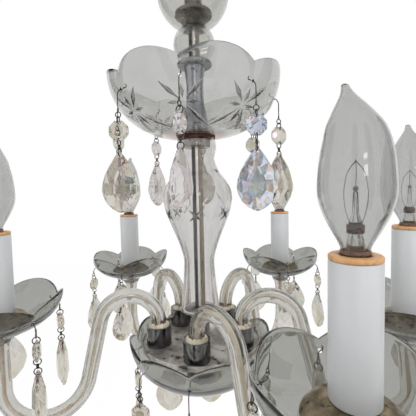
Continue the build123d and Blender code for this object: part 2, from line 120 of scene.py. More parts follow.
def facesOut(obj, weld=0):
    # welds doubled points, and turns every face outwards
    editAll(obj)
    if weld:
        bpy.ops.mesh.remove_doubles(threshold=weld * mm)
    bpy.ops.mesh.normals_make_consistent(inside=False)
    toObject()


def fixAt(obj, matrix):
    # puts a new primitive in its place, in its mesh
    obj.matrix_world = matrix
    bpy.context.view_layer.update()
    bpy.ops.object.transform_apply(location=True, rotation=True, scale=True)
    return obj


def drawLine(name, points):
    # a chain of vertices, drawn by extruding one vertex from point to point
    deselect()
    bpy.ops.mesh.primitive_plane_add(size=mm, location=(0, 0, 0))
    obj = named(name)
    bpy.ops.object.mode_set(mode="EDIT")
    bpy.ops.mesh.merge(type="CENTER")
    bpy.ops.transform.translate(value=points[0] * mm)
    for a, b in zip(points, points[1:]):
        bpy.ops.mesh.extrude_vertices_move(TRANSFORM_OT_translate={"value": (b - a) * mm})
    toObject()
    return obj


def onAzimuth(r, azimuth, z):
    # azimuth 0 is the front, -Y, and turns towards +X
    turn = math.radians(azimuth)
    return Vector((r * math.sin(turn), -r * math.cos(turn), z))


def spinUp(name, profile, steps, azimuth=90, smooth=40, closed=True):
    # a profile of (r, z) points, spun all round about Z
    points = [onAzimuth(r, azimuth, z) for r, z in profile]
    if closed:
        points.append(points[0])
    obj = drawLine(name, points)
    editAll(obj)
    bpy.ops.mesh.spin(steps=steps, angle=2 * math.pi, center=(0, 0, 0), axis=(0, 0, 1))
    facesOut(obj, weld=0.004)
    smoothBy(obj, smooth)
    return obj


def smoothBy(obj, angle):
    pickOnly(obj)
    bpy.ops.object.shade_smooth_by_angle(angle=math.radians(angle))


def bendWire(name, points, radius, sides=8, closed=False):
    # a round wire or tube that follows points
    line = bpy.data.curves.new(name, "CURVE")
    line.dimensions = "3D"
    spline = line.splines.new("POLY")
    spline.points.add(len(points) - 1)
    for spot, p in zip(spline.points, points):
        spot.co = (p[0] * mm, p[1] * mm, p[2] * mm, 1)
    spline.use_cyclic_u = closed
    line.bevel_depth = radius * mm
    line.bevel_resolution = max(0, sides // 2 - 2)
    line.use_fill_caps = not closed
    obj = bpy.data.objects.new(name, line)
    scene.collection.objects.link(obj)
    pickOnly(obj)
    bpy.ops.object.convert(target="MESH")
    obj = named(name)
    facesOut(obj, weld=0.002)
    smoothBy(obj, 60)
    return obj


def joinAll(name, objs):
    pickOnly(*objs)
    if len(objs) > 1:
        bpy.ops.object.join()
    return named(name)


def applyModifier(obj, kind, **values):
    pickOnly(obj)
    modifier = obj.modifiers.new(kind.title(), kind)
    for key, value in values.items():
        setattr(modifier, key, value)
    bpy.ops.object.modifier_apply(modifier=modifier.name)


def cutWith(obj, cutter, crossing=False, finish="INDEX"):
    applyModifier(obj, "BOOLEAN", operation="DIFFERENCE", solver="EXACT", use_self=crossing,
                  material_mode=finish, object=cutter)
    bpy.data.objects.remove(cutter)


def cutGround(obj, cuts, material, ground):
    # grinds cuts into a glass, with a finish for the glass and one for the ground faces
    cutter = joinAll("groundCuts", cuts)
    cutter.data.materials.append(ground)
    obj.data.materials.append(material)
    cutWith(obj, cutter, True, "TRANSFER")


def place(obj, matrix):
    obj.data.transform(matrix)
    obj.data.update()
    return obj


def copyOf(source, name, matrix):
    obj = source.copy()
    obj.data = source.data.copy()
    obj.name = name
    obj.data.name = name
    scene.collection.objects.link(obj)
    return place(obj, matrix)


def discard(*objs):
    for obj in objs:
        bpy.data.objects.remove(obj)


def settle(obj, body, slot, material, *nodes):
    # body it moves with, slot of its finish (not used), CAD nodes that it stands for
    if not obj.data.materials:
        obj.data.materials.append(material)
    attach(obj, body)
    if nodes:
        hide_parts(*nodes)
    return obj


def arcOf(cx, cz, rx, rz, start, end, steps):
    turns = [math.radians(start + (end - start) * k / steps) for k in range(steps + 1)]
    return [(cx + rx * math.cos(t), cz + rz * math.sin(t)) for t in turns]


def between(a, b, c, d, t):
    # a value between b and c, on a curve that also passes through a and d
    return 0.5 * (2 * b + (c - a) * t + (2 * a - 5 * b + 4 * c - d) * t**2 + (3 * b - a - 3 * c + d) * t**3)


def smoothLine(points, steps):
    # a curve through all the points, as a list of finer points
    fine = []
    last = len(points) - 1
    for k in range(last):
        near = [points[max(0, min(last, k + j))] for j in (-1, 0, 1, 2)]
        for s in range(steps):
            fine.append(tuple(between(*values, s / steps) for values in zip(*near)))
    fine.append(tuple(points[last]))
    return fine


# Materials: helpers for shader nodes
def feed(tree, node, inputs):
    # an input that is given as a socket is linked, and any other value is set
    for key, value in inputs.items():
        if isinstance(value, bpy.types.NodeSocket):
            tree.links.new(value, node.inputs[key])
        else:
            node.inputs[key].default_value = value
    return node


def addNode(tree, kind, inputs=None, **settings):
    node = tree.nodes.new(kind)
    for key, value in settings.items():
        setattr(node, key, value)
    return feed(tree, node, inputs or {})


def paint(colour):
    return (*colour, 1)


def mathNode(tree, operation, a, b, **settings):
    return addNode(tree, "ShaderNodeMath", {0: a, 1: b}, operation=operation, **settings).outputs[0]


def mapRange(tree, value, limits, **settings):
    return addNode(tree, "ShaderNodeMapRange", {"Value": value, **limits}, **settings).outputs["Result"]


def mixColour(tree, share, a, b):
    mix = addNode(tree, "ShaderNodeMix", {"Factor": share, "A": a, "B": b}, data_type="RGBA")
    return mix.outputs["Result"]


def mixShaders(tree, share, first, second, output):
    # shows the second shader by its share, and the first by the rest
    mix = addNode(tree, "ShaderNodeMixShader", {0: share, 1: first.outputs[0], 2: second.outputs[0]})
    feed(tree, tree.nodes[output], {"Surface": mix.outputs[0]})


def noise(tree, where, inputs):
    return addNode(tree, "ShaderNodeTexNoise", {"Vector": where, **inputs}).outputs["Fac"]


def ownPlace(tree):
    return addNode(tree, "ShaderNodeTexCoord").outputs["Object"]


def rampColour(tree, stops, share):
    # the colour at a share of the way along a ramp of (place, colour) stops
    ramp = addNode(tree, "ShaderNodeValToRGB", {"Fac": share})
    elements = ramp.color_ramp.elements
    while len(elements) < len(stops):
        elements.new(0.5)
    for element, (position, colour) in zip(elements, stops):
        element.position = position
        element.color = paint(colour)
    return ramp.outputs["Color"]


def newGroup(name, inputs):
    # a node group with a colour, a roughness and a height
    group = bpy.data.node_groups.new(name, "ShaderNodeTree")
    for label, value in inputs.items():
        isColour = isinstance(value, tuple)
        kind = "NodeSocketColor" if isColour else "NodeSocketFloat"
        socket = group.interface.new_socket(label, in_out="INPUT", socket_type=kind)
        socket.default_value = paint(value) if isColour else value
    for label, kind in (("Color", "Color"), ("Roughness", "Float"), ("Height", "Float")):
        group.interface.new_socket(label, in_out="OUTPUT", socket_type=f"NodeSocket{kind}")
    return group, group.nodes.new("NodeGroupInput").outputs, group.nodes.new("NodeGroupOutput")


def handledGlassGroup():
    # slow waves of hand-worked glass, and a film of dust and finger marks
    group, start, end = newGroup("handledGlass", {
        "Wave Scale": 40, "Film Scale": 60, "Clear": (1, 1, 1), "Film": (0.8, 0.8, 0.8)})
    where = ownPlace(group)
    film = noise(group, where, {"Scale": start["Film Scale"], "Detail": 6.0})
    patch = mapRange(group, film, {"From Min": 0.45, "From Max": 0.75})
    feed(group, end, {
        "Color": mixColour(group, patch, start["Clear"], start["Film"]),
        "Roughness": mapRange(group, patch, {"To Min": 0.0, "To Max": 0.06}),
        "Height": noise(group, where, {"Scale": start["Wave Scale"], "Detail": 1.0}),
    })
    return group


def tarnishGroup():
    # clean metal, dull patches and dark spots, drawn out along Z by Stretch
    group, start, end = newGroup("tarnish", {
        "Patch Scale": 60, "Spot Scale": 260, "Clean": (0.6, 0.6, 0.6), "Dull": (0.3, 0.28, 0.25),
        "Spots": (0.1, 0.07, 0.05), "Shine": 0.15, "Dullness": 0.5, "Stretch": 1})
    apart = addNode(group, "ShaderNodeSeparateXYZ", {0: ownPlace(group)}).outputs
    drawn = mathNode(group, "MULTIPLY", apart["Z"], start["Stretch"])
    along = addNode(group, "ShaderNodeCombineXYZ", {"X": apart["X"], "Y": apart["Y"], "Z": drawn}).outputs[0]
    patches = noise(group, along, {"Scale": start["Patch Scale"], "Detail": 8.0, "Roughness": 0.65})
    spots = noise(group, along, {"Scale": start["Spot Scale"], "Detail": 3.0})
    dull = mapRange(group, patches, {"From Min": 0.4, "From Max": 0.62})
    spotted = mapRange(group, spots, {"From Min": 0.6, "From Max": 0.68})
    metal = mixColour(group, dull, start["Clean"], start["Dull"])
    feed(group, end, {
        "Color": mixColour(group, spotted, metal, start["Spots"]),
        "Roughness": mapRange(group, dull, {"To Min": start["Shine"], "To Max": start["Dullness"]}),
        "Height": patches,
    })
    return group


groups = {"handledGlass": handledGlassGroup(), "tarnish": tarnishGroup()}


def newMaterial(name):
    material = bpy.data.materials.new(name)
    material.use_nodes = True
    return material, material.node_tree, material.node_tree.nodes["Principled BSDF"]


def groupMaterial(name, groupName, values, bump, shader):
    # a Principled shader whose colour, roughness and bump come from a group
    material, tree, surface = newMaterial(name)
    inputs = {key: paint(value) if isinstance(value, tuple) else value for key, value in values.items()}
    effect = addNode(tree, "ShaderNodeGroup", inputs, node_tree=groups[groupName]).outputs
    feed(tree, surface, {"Base Color": effect["Color"], "Roughness": effect["Roughness"], **shader})
    if bump:
        strength, depth = bump
        dents = {"Strength": strength, "Distance": depth * mm, "Height": effect["Height"]}
        feed(tree, surface, {"Normal": addNode(tree, "ShaderNodeBump", dents).outputs["Normal"]})
    return material


def colourOf(material):
    # the tree, its Principled shader, and the socket that its colour comes from
    tree = material.node_tree
    surface = tree.nodes["Principled BSDF"]
    return tree, surface, surface.inputs["Base Color"].links[0].from_socket


def letLightThrough(material, tint):
    # lamps and bounced light pass straight through the glass
    tree, surface, _ = colourOf(material)
    path = addNode(tree, "ShaderNodeLightPath").outputs
    either = mathNode(tree, "MAXIMUM", path["Is Shadow Ray"], path["Is Diffuse Ray"])
    clear = addNode(tree, "ShaderNodeBsdfTransparent", {"Color": paint(tint)})
    mixShaders(tree, either, surface, clear, "Material Output")
    return material


def darkenEdges(material, edge, blend):
    # the thick of the glass, seen along its wall, is deeper in colour
    tree, surface, face = colourOf(material)
    facing = addNode(tree, "ShaderNodeLayerWeight", {"Blend": blend}).outputs["Facing"]
    feed(tree, surface, {"Base Color": mixColour(tree, facing, face, paint(edge))})


def clearBehind(material, tint):
    # a wall seen through other glass is nearly clear, so two walls aren't twice as grey as one
    tree, surface, face = colourOf(material)
    seen = addNode(tree, "ShaderNodeLightPath").outputs["Is Camera Ray"]
    feed(tree, surface, {"Base Color": mixColour(tree, seen, paint(tint), face)})


def glassMaterial(name, clear, film, edge, behind, waveScale=40, wave=(0.25, 0.6)):
    shader = {"Transmission Weight": 1.0, "IOR": 1.5, "Metallic": 0.0}
    values = {"Wave Scale": waveScale, "Film Scale": 55, "Clear": clear, "Film": film}
    material = groupMaterial(name, "handledGlass", values, wave, shader)
    darkenEdges(material, edge, 0.3)
    clearBehind(material, behind)
    return letLightThrough(material, behind)


def metalMaterial(name, clean, dull, spots, shine, dullness, patchScale=60, bump=(0.2, 0.15), metallic=1.0,
                  **more):
    values = {"Patch Scale": patchScale, "Clean": clean, "Dull": dull, "Spots": spots, "Shine": shine,
              "Dullness": dullness, **more}
    return groupMaterial(name, "tarnish", values, bump, {"Metallic": metallic})


def browningAtFoot(material, footBrown, reach, strength):
    # brown tint in the glass, patchy, thickest round the washer at the foot of the bowl and fading outwards
    tree, surface, face = colourOf(material)
    where = ownPlace(tree)
    flat = addNode(tree, "ShaderNodeVectorMath", {0: where, 1: (1, 1, 0)}, operation="MULTIPLY")
    far = addNode(tree, "ShaderNodeVectorMath", {0: flat.outputs["Vector"]}, operation="LENGTH")
    limits = {"From Min": reach[0] * mm, "From Max": reach[1] * mm, "To Min": 1, "To Max": 0}
    fade = mapRange(tree, far.outputs["Value"], limits, interpolation_type="SMOOTHSTEP")
    patchy = mathNode(tree, "MULTIPLY", fade, noise(tree, where, {"Scale": 90.0, "Detail": 4.0}))
    thick = mathNode(tree, "MULTIPLY", patchy, strength, use_clamp=True)
    feed(tree, surface, {"Base Color": mixColour(tree, thick, face, paint(footBrown))})


def paintedPipeReflection(material, r, reflectionBands):
    # painted reflection: streaks along a pipe of radius r, from its left side to its right, set by the pipe's
    # own X in place of what it mirrors
    tree, surface, _ = colourOf(material)
    apart = addNode(tree, "ShaderNodeSeparateXYZ", {0: ownPlace(tree)})
    across = mapRange(tree, apart.outputs["X"], {"From Min": -r * mm, "From Max": r * mm})
    feed(tree, surface, {"Base Color": rampColour(tree, reflectionBands, across)})


# Glass: clear face, film of dust, edge of the wall, and the tint of a wall behind other glass
bowlGlass = glassMaterial(
    "bowlGlass", (0.135, 0.135, 0.122), (0.115, 0.112, 0.1), (0.1, 0.105, 0.093), (0.85, 0.86, 0.83))
groundGlass = glassMaterial(
    "groundGlass", (0.1, 0.1, 0.095), (0.08, 0.08, 0.075), (0.04, 0.04, 0.036), (0.5, 0.5, 0.48))
# upper bowl glass, with a patchy brown tint round its washer that fades outwards
brownFootBowl = glassMaterial(
    "brownFootBowl", (0.32, 0.32, 0.315), (0.28, 0.28, 0.27), (0.16, 0.16, 0.15), (0.85, 0.85, 0.83))
browningAtFoot(brownFootBowl, (0.2, 0.11, 0.07), (19, 36), 2.4)
ballGlass = glassMaterial(
    "ballGlass", (0.36, 0.36, 0.345), (0.31, 0.31, 0.295), (0.17, 0.17, 0.155), (0.85, 0.85, 0.83))
columnGlass = glassMaterial(
    "columnGlass", (0.54, 0.53, 0.52), (0.48, 0.47, 0.46), (0.28, 0.27, 0.26), (0.87, 0.865, 0.86))
armGlass = glassMaterial(
    "armGlass", (0.48, 0.465, 0.44), (0.4, 0.385, 0.355), (0.22, 0.21, 0.19), (0.89, 0.885, 0.865),
    90, (0.08, 0.3))
bulbGlass = glassMaterial(
    "bulbGlass", (0.3, 0.305, 0.305), (0.27, 0.275, 0.27), (0.14, 0.14, 0.135), (0.88, 0.88, 0.87),
    40, (0.05, 0.2))

# Metal, plaster and paint: clean, dull and spotted colour, roughness of both, size of the patches, bump
chrome = metalMaterial(
    "chrome", (0.55, 0.56, 0.6), (0.42, 0.43, 0.465), (0.12, 0.11, 0.1), 0.26, 0.4, 40, (0.05, 0.1))
cupChrome = metalMaterial(
    "cupChrome", (0.2, 0.2, 0.205), (0.13, 0.13, 0.135), (0.07, 0.06, 0.05), 0.12, 0.28, 40, (0.05, 0.1))
rodSteel = metalMaterial(
    "rodSteel", (0.85, 0.84, 0.82), (0.16, 0.15, 0.135), (0.3, 0.24, 0.18), 0.1, 0.3, 190, (0.1, 0.1),
    Stretch=0.03)
# painted reflection on the rod: a dark band on the left, a white highlight band in the middle and tan on the
# right
paintedPipeReflection(rodSteel, 5.1, [
    (0.0, (0.3, 0.28, 0.25)), (0.12, (0.08, 0.075, 0.065)), (0.38, (0.1, 0.09, 0.08)), (0.44, (1, 1, 1)),
    (0.62, (1, 0.99, 0.97)), (0.68, (0.3, 0.24, 0.18)), (0.86, (0.5, 0.41, 0.32)), (1.0, (0.2, 0.18, 0.16))])
nickel = metalMaterial("nickel", (0.45, 0.43, 0.4), (0.3, 0.28, 0.24), (0.14, 0.11, 0.09), 0.2, 0.42)
darkSpool = metalMaterial("darkSpool", (0.34, 0.3, 0.27), (0.14, 0.12, 0.1), (0.05, 0.04, 0.035), 0.25, 0.55)
plateMetal = metalMaterial(
    "plateMetal", (0.68, 0.65, 0.61), (0.34, 0.32, 0.29), (0.1, 0.085, 0.07), 0.46, 0.75, 48,
    **{"Spot Scale": 95})
copper = metalMaterial("copper", (0.19, 0.075, 0.05), (0.12, 0.055, 0.04), (0.06, 0.04, 0.03), 0.4, 0.65, 120)
seatMetal = metalMaterial(
    "seatMetal", (0.3, 0.24, 0.16), (0.16, 0.13, 0.09), (0.06, 0.05, 0.04), 0.3, 0.6, 120)
wireMetal = metalMaterial(
    "wireMetal", (0.14, 0.13, 0.12), (0.06, 0.055, 0.05), (0.04, 0.03, 0.03), 0.3, 0.55, 200)
leadCover = metalMaterial(
    "leadCover", (0.84, 0.79, 0.72), (0.7, 0.58, 0.45), (0.6, 0.5, 0.4), 0.3, 0.5, 28, metallic=0.0)
plaster = metalMaterial(
    "plaster", (0.55, 0.5, 0.41), (0.33, 0.29, 0.22), (0.2, 0.16, 0.12), 0.7, 0.95, 160, (0.5, 0.5), 0.0)
bulbSteel = metalMaterial(
    "bulbSteel", (0.5, 0.46, 0.41), (0.34, 0.3, 0.26), (0.2, 0.15, 0.12), 0.25, 0.45, 200)
bulbCement = metalMaterial(
    "bulbCement", (0.2, 0.12, 0.1), (0.1, 0.07, 0.06), (0.05, 0.04, 0.035), 0.35, 0.6, 200, metallic=0.4)
sleeveWhite = metalMaterial(
    "sleeveWhite", (0.51, 0.515, 0.525), (0.49, 0.495, 0.505), (0.5, 0.505, 0.515), 0.36, 0.42, 30,
    (0.04, 0.1), 0.0)
tanRim = metalMaterial(
    "tanRim", (0.58, 0.33, 0.15), (0.5, 0.27, 0.12), (0.4, 0.22, 0.1), 0.45, 0.6, 160, (0.1, 0.1), 0.0)
print("materials made")


# Glass bowls with petals
upperBowl = {"rim": 80, "base": 20, "wall": 3.6, "lip": 1.9, "bore": 5.4, "petals": 8, "drop": 7.5,
             "pinch": 3.5, "hole": 1.5, "holeDrop": 24, "crest": 3.5}
lowerBowl = {"rim": 69, "base": 18, "wall": 3.5, "lip": 1.7, "bore": 5.4, "petals": 8, "drop": 9,
             "pinch": 3.0, "hole": 1.5, "holeDrop": 20, "crest": 0}
dripDish = {"rim": 53, "base": 13, "wall": 3.2, "lip": 1.3, "bore": 5.1, "petals": 5, "drop": 10,
            "pinch": 3.0, "hole": 1.5, "holeDrop": 16}
petalForm = {"steps": 20, "wallSteps": 18, "crownSteps": 6, "crown": 0.6, "reach": 0.85, "fade": 1.5}
holeSlope = 0.55


def bowlProfile(size, low, high):
    height = high - low
    floor = low + size["wall"]
    across = size["rim"] - size["base"]
    lip = size["lip"] / 2
    steps = petalForm["wallSteps"]
    outer = arcOf(size["base"], high, across, height, -90, 0, steps)
    crown = arcOf(size["rim"] - lip, high, lip, lip * petalForm["crown"], 0, 180, petalForm["crownSteps"])
    inner = arcOf(size["base"], high, across - size["lip"], height - size["wall"], 0, -90, steps)
    return [(size["bore"], low), *outer, *crown[1:-1], *inner, (size["bore"], floor)]


def shapePetals(obj, size, low, high, turn):
    # the rim falls to a notch between petals, and the wall draws in under each notch
    height = high - low
    step = 2 * math.pi / size["petals"]
    for vertex in obj.data.vertices:
        spot = vertex.co / mm
        azimuth = math.atan2(spot.x, -spot.y) - math.radians(turn)
        off = abs((azimuth + step / 2) % step - step / 2) / (step / 2)
        near = (1 - off) ** 2
        depth = min(1, max(0, (high - spot.z) / height))
        fall = (1 - min(1, depth / petalForm["reach"])) ** petalForm["fade"]
        r = math.hypot(spot.x, spot.y)
        keep = 1 - size["pinch"] * near * (1 - depth) / max(r, 1)
        vertex.co = (spot.x * keep * mm, spot.y * keep * mm, (spot.z - size["drop"] * near * fall) * mm)
    obj.data.update()


def drillHoles(obj, holes, radius, depth):
    drills = []
    for hole, normal in holes:
        bpy.ops.mesh.primitive_cylinder_add(vertices=12, radius=radius * mm, depth=depth * mm)
        turn = normal.to_track_quat("Z", "Y").to_matrix().to_4x4()
        drills.append(fixAt(bpy.context.object, Matrix.Translation(hole * mm) @ turn))
    cutWith(obj, joinAll("drills", drills))


def bowlSkin(size, low, high, azimuth, depth):
    # a point of the outer wall at a depth below the rim, and the way out of the wall there
    across = size["rim"] - size["base"]
    height = high - low
    turn = math.asin(min(1, depth / height))
    r = size["base"] + across * math.cos(turn)
    slope = math.atan2(math.sin(turn) / height, math.cos(turn) / across)
    out = onAzimuth(1, azimuth, 0)
    normal = Vector((out.x * math.cos(slope), out.y * math.cos(slope), -math.sin(slope)))
    return Vector((out.x * r, out.y * r, high - depth)), normal


def petalBowl(name, size, low, high, turn, holes):
    obj = spinUp(name, bowlProfile(size, low, high), size["petals"] * petalForm["steps"], turn, smooth=30)
    shapePetals(obj, size, low, high, turn)
    if holes:
        drillHoles(obj, holes, size["hole"], 4 * size["wall"])
    return obj


# Cuts ground into the glass: each is a long spindle that is taken out of the wall
def spindle(a, b, normal, width, depth):
    bpy.ops.mesh.primitive_uv_sphere_add(segments=4, ring_count=2, radius=1)
    obj = bpy.context.object
    along = (b - a).normalized()
    side = normal.cross(along).normalized()
    up = along.cross(side).normalized()
    turn = Matrix((along, side, up)).transposed().to_4x4()
    spot = Matrix.Translation((a + b) / 2 * mm)
    size = Matrix.Diagonal(((b - a).length / 2 * mm, width / 2 * mm, depth * mm, 1))
    return fixAt(obj, spot @ turn @ size)


starCut = {"depth": 37, "rays": 8, "long": 26, "short": 14, "start": 1.5, "width": 4.2, "sink": 1.2,
           "lowest": 51, "squash": 0.8}


def cutStars(obj, size, low, high, turn):
    cuts = []
    step = 360 / size["petals"]
    for k in range(size["petals"]):
        middle = turn + k * step
        for ray in range(starCut["rays"]):
            swing = 2 * math.pi * (ray + 1) / starCut["rays"]
            reach = starCut["long"] if ray % 2 == 0 else starCut["short"]
            ends = []
            for far in (starCut["start"], reach):
                fall = starCut["depth"] - far * math.cos(swing) * starCut["squash"]
                depth = min(starCut["lowest"], fall)
                r = bowlSkin(size, low, high, middle, depth)[0].xy.length
                aside = math.degrees(far * math.sin(swing) / r)
                ends.append(bowlSkin(size, low, high, middle + aside, depth))
            (a, way), (b, _) = ends
            cuts.append(spindle(a, b, way, starCut["width"], starCut["sink"]))
    cutGround(obj, cuts, brownFootBowl, groundGlass)


def notchHoles(name, count):
    # string holes of a bowl, square to its wall
    holes = []
    for k in range(1, count + 1):
        spot = jointPlace(f"{name}_string_{k}_swing")
        holes.append((spot, Vector((spot.x, spot.y, -holeSlope * spot.xy.length)).normalized()))
    return holes


def firstTurn(name):
    spot = jointPlace(f"{name}_string_1_swing")
    return math.degrees(math.atan2(spot.x, -spot.y))


def makeBowls():
    for name, size, material in (("upper", upperBowl, brownFootBowl), ("lower", lowerBowl, bowlGlass)):
        low, high = zSpan(f"{name}_bowl")
        high -= size["crest"]
        turn = firstTurn(name)
        obj = petalBowl(f"{name}BowlGlass", size, low, high, turn, notchHoles(name, size["petals"]))
        if name == "upper":
            cutStars(obj, size, low, high, turn)
        smoothBy(obj, 30)
        settle(obj, "column", "clear_glass", material, f"{name}_bowl")
    print("bowls made")


# Column: two glass balls and the baluster
upperBall = {"d": 67, "wall": 2.5, "mouth": 18, "arcSteps": 30}
spacerBall = {"d": 39, "wall": 3.0, "arcSteps": 22}
rodHole = 5.4


def makeBalls():
    low, high = zSpan("upper_ball")
    r = upperBall["d"] / 2
    inner = r - upperBall["wall"]
    mid = high - math.sqrt(r**2 - upperBall["mouth"] ** 2)
    top = math.degrees(math.acos(upperBall["mouth"] / r))
    bottom = math.degrees(math.asin((low - mid) / r))
    innerTop = math.degrees(math.acos(upperBall["mouth"] / inner))
    innerBottom = math.degrees(-math.acos(rodHole / inner))
    profile = [(rodHole, low), *arcOf(0, mid, r, r, bottom, top, upperBall["arcSteps"]),
               *arcOf(0, mid, inner, inner, innerTop, innerBottom, upperBall["arcSteps"])]
    settle(spinUp("upperBallGlass", profile, 96), "column", "clear_glass", ballGlass, "upper_ball")
    low, high = zSpan("spacer_ball")
    r = spacerBall["d"] / 2
    inner = r - spacerBall["wall"]
    mid = (low + high) / 2
    end = math.degrees(math.asin((high - mid) / r))
    innerEnd = math.degrees(math.acos(rodHole / inner))
    profile = [(rodHole, low), *arcOf(0, mid, r, r, -end, end, spacerBall["arcSteps"]), (rodHole, high),
               *arcOf(0, mid, inner, inner, innerEnd, -innerEnd, spacerBall["arcSteps"])]
    settle(spinUp("spacerBallGlass", profile, 72), "column", "clear_glass", ballGlass, "spacer_ball")
    print("balls made")


baluster = {
    "wall": 3.0,
    "stations": [(18.0, 0), (18.5, 4), (18.7, 8.4), (17.9, 13), (16.8, 18), (17.5, 22.5), (19.6, 27.5),
                 (20.8, 31), (27.0, 39), (31.9, 48), (33, 56), (32.6, 61), (31.0, 69), (26, 82), (19.5, 98),
                 (15.6, 111), (14.8, 117), (15.0, 126), (16.3, 142), (18.0, 156), (18.8, 163.4)],
    "crosses": 6, "turn": 1, "crossAt": 71, "cross": (9.5, 4.0, 1.7), "crossLean": (0.75, 0.66),
    "line": ((7, 64), (28, 49)), "lineCut": (1.6, 0.7), "lift": 0.86, "tilt": -0.2,
}


def makeBaluster():
    # crossed cuts under the belly, with fine lines that rise from them in diamonds
    low, high = zSpan("baluster")
    side = smoothLine([(r, high - down) for r, down in baluster["stations"]], 4)
    inner = [(r - baluster["wall"], z) for r, z in reversed(side)]
    obj = spinUp("balusterGlass", [*side, *inner], 96, smooth=35)

    def skin(azimuth, down):
        z = high - down
        r = min(side, key=lambda spot: abs(spot[1] - z))[0]
        return onAzimuth(r, azimuth, z)

    def ground(start, end, width, sink):
        # a cut between two points of the skin, lifted to the bulge of the glass
        middle = [(x + y) / 2 for x, y in zip(start, end)]
        a, b = skin(*start), skin(*end)
        lift = (skin(*middle) - (a + b) / 2) * baluster["lift"]
        return spindle(a + lift, b + lift, onAzimuth(1, middle[0], baluster["tilt"]), width, sink)

    crosses = []
    lines = []
    long, width, sink = baluster["cross"]
    aside, upright = baluster["crossLean"]
    at = baluster["crossAt"]
    spread = math.degrees(long * aside / skin(0, at).xy.length)
    for k in range(baluster["crosses"]):
        turn = baluster["turn"] + k * 360 / baluster["crosses"]
        for lean in (-1, 1):
            top = (turn - lean * spread, at - long * upright)
            foot = (turn + lean * spread, at + long * upright)
            crosses.append(ground(top, foot, width, sink))
            ends = [(turn + lean * off, down) for off, down in baluster["line"]]
            lines.append(ground(*ends, *baluster["lineCut"]))
    cutWith(obj, joinAll("fineLines", lines), True)
    cutGround(obj, crosses, columnGlass, groundGlass)
    smoothBy(obj, 35)
    settle(obj, "column", "clear_glass", columnGlass, "baluster")
    print("baluster made")


# Hub: mottled plate with a turned-up lip, a spacer pipe on it, and the cap that the baluster stands on
hub = {"r": 57.8, "thick": 1.5, "lip": 3, "capR": 19.6, "capThick": 1.5, "nutRoom": 7.9, "pipeR": 8.6,
       "leadHole": 4.2, "edge": 0.4, "fillet": [(0, 5), (1, 2.2), (4, 0.4), (7, 0)]}


def makeHub():
    low, high = zSpan("hub_plate")
    top = low + hub["thick"]
    lip = top + hub["lip"]
    rim = hub["r"]
    within = rim - hub["thick"]
    pipe = hub["pipeR"]
    capR = hub["capR"]
    under = high - hub["capThick"]
    edge = hub["edge"]
    cap = [(rodHole, high), (capR - edge, high), (capR, high - edge), (capR, under + edge),
           (capR - edge, under), (rodHole, under)]
    body = [(rodHole, high - hub["nutRoom"]), (pipe, high - hub["nutRoom"]),
            *[(pipe + out, top + up) for out, up in hub["fillet"]],
            (within, top), (within, lip - edge), (rim - hub["thick"] / 2, lip), (rim, lip - edge),
            (rim, low), (rodHole, low)]
    plate = spinUp("hubBody", body, 96, smooth=35)
    up = Vector((0, 0, 1))
    cups = [jointPlace(f"arm_{k}_swivel") for k in range(1, armCount + 1)]
    drillHoles(plate, [(Vector((cup.x, cup.y, low)), up) for cup in cups], hub["leadHole"], 4 * hub["thick"])
    smoothBy(plate, 35)
    whole = joinAll("hubPlate", [plate, spinUp("hubCap", cap, 64)])
    settle(whole, "column", "tarnished_metal", plateMetal, "hub_plate")
    print("hub made")


# Glass arm, with its lead, plaster foot, dish, candle and bulb, modelled along +X and copied to each cup
armTube = {"d": 14, "bore": 8.4, "footRise": 3, "archR": 27, "archTurn": 167, "fall": 55, "troughR": 45,
           "liftR": 30, "flareD": 28, "flareHeight": 20, "footDrop": 16.3, "leadTail": 4, "core": 0.9,
           "sides": 48, "ribs": 12, "ribDepth": 0.22, "archSteps": 40, "bendSteps": 24}


def ringUp(by):
    bpy.ops.mesh.extrude_region_move(TRANSFORM_OT_translate={"value": (by[0] * mm, 0, by[1] * mm)})


def bendRing(center, angle, steps):
    middle = (center[0] * mm, 0, center[1] * mm)
    bpy.ops.mesh.spin(steps=steps, angle=math.radians(-angle), center=middle, axis=(0, 1, 0))


def ribRing(obj):
    # draws the ring in between its ribs
    for k, vertex in enumerate(obj.data.vertices):
        dip = (1 - math.cos(2 * math.pi * k * armTube["ribs"] / armTube["sides"])) / 2
        keep = 1 - armTube["ribDepth"] * dip / (armTube["d"] / 2)
        vertex.co.x *= keep
        vertex.co.y *= keep


def bentTube(name, d, start, end, stations=()):
    # one ring, drawn up, round the arch, down, through the trough and up to the candle
    arch = armTube["archR"]
    archStart = cupTop + armTube["footRise"]
    turn = math.radians(armTube["archTurn"])
    down = (math.sin(turn), math.cos(turn))
    deselect()
    bpy.ops.mesh.primitive_circle_add(
        vertices=armTube["sides"], radius=d / 2 * mm, location=(0, 0, start * mm))
    obj = named(name)
    bpy.ops.object.transform_apply(location=True)
    if stations:
        ribRing(obj)
    editAll(obj)
    ringUp((0, archStart - start))
    bendRing((arch, archStart), armTube["archTurn"], armTube["archSteps"])
    x = arch - arch * math.cos(turn)
    z = archStart + arch * math.sin(turn)
    ringUp((down[0] * armTube["fall"], down[1] * armTube["fall"]))
    x += down[0] * armTube["fall"]
    z += down[1] * armTube["fall"]
    trough = armTube["troughR"]
    middle = (x - down[1] * trough, z + down[0] * trough)
    bendRing(middle, 90 - armTube["archTurn"], armTube["bendSteps"])
    z = middle[1] - trough
    x = middle[0]
    bendRing((x, z + armTube["liftR"]), -90, armTube["bendSteps"])
    z += armTube["liftR"]
    x += armTube["liftR"]
    r = d / 2
    for nextR, nextZ in stations or [(r, end)]:
        ringUp((0, nextZ - z))
        if nextR != r:
            bpy.ops.transform.resize(value=(nextR / r, nextR / r, 1), center_override=(x * mm, 0, nextZ * mm))
        r, z = nextR, nextZ
    toObject()
    return obj


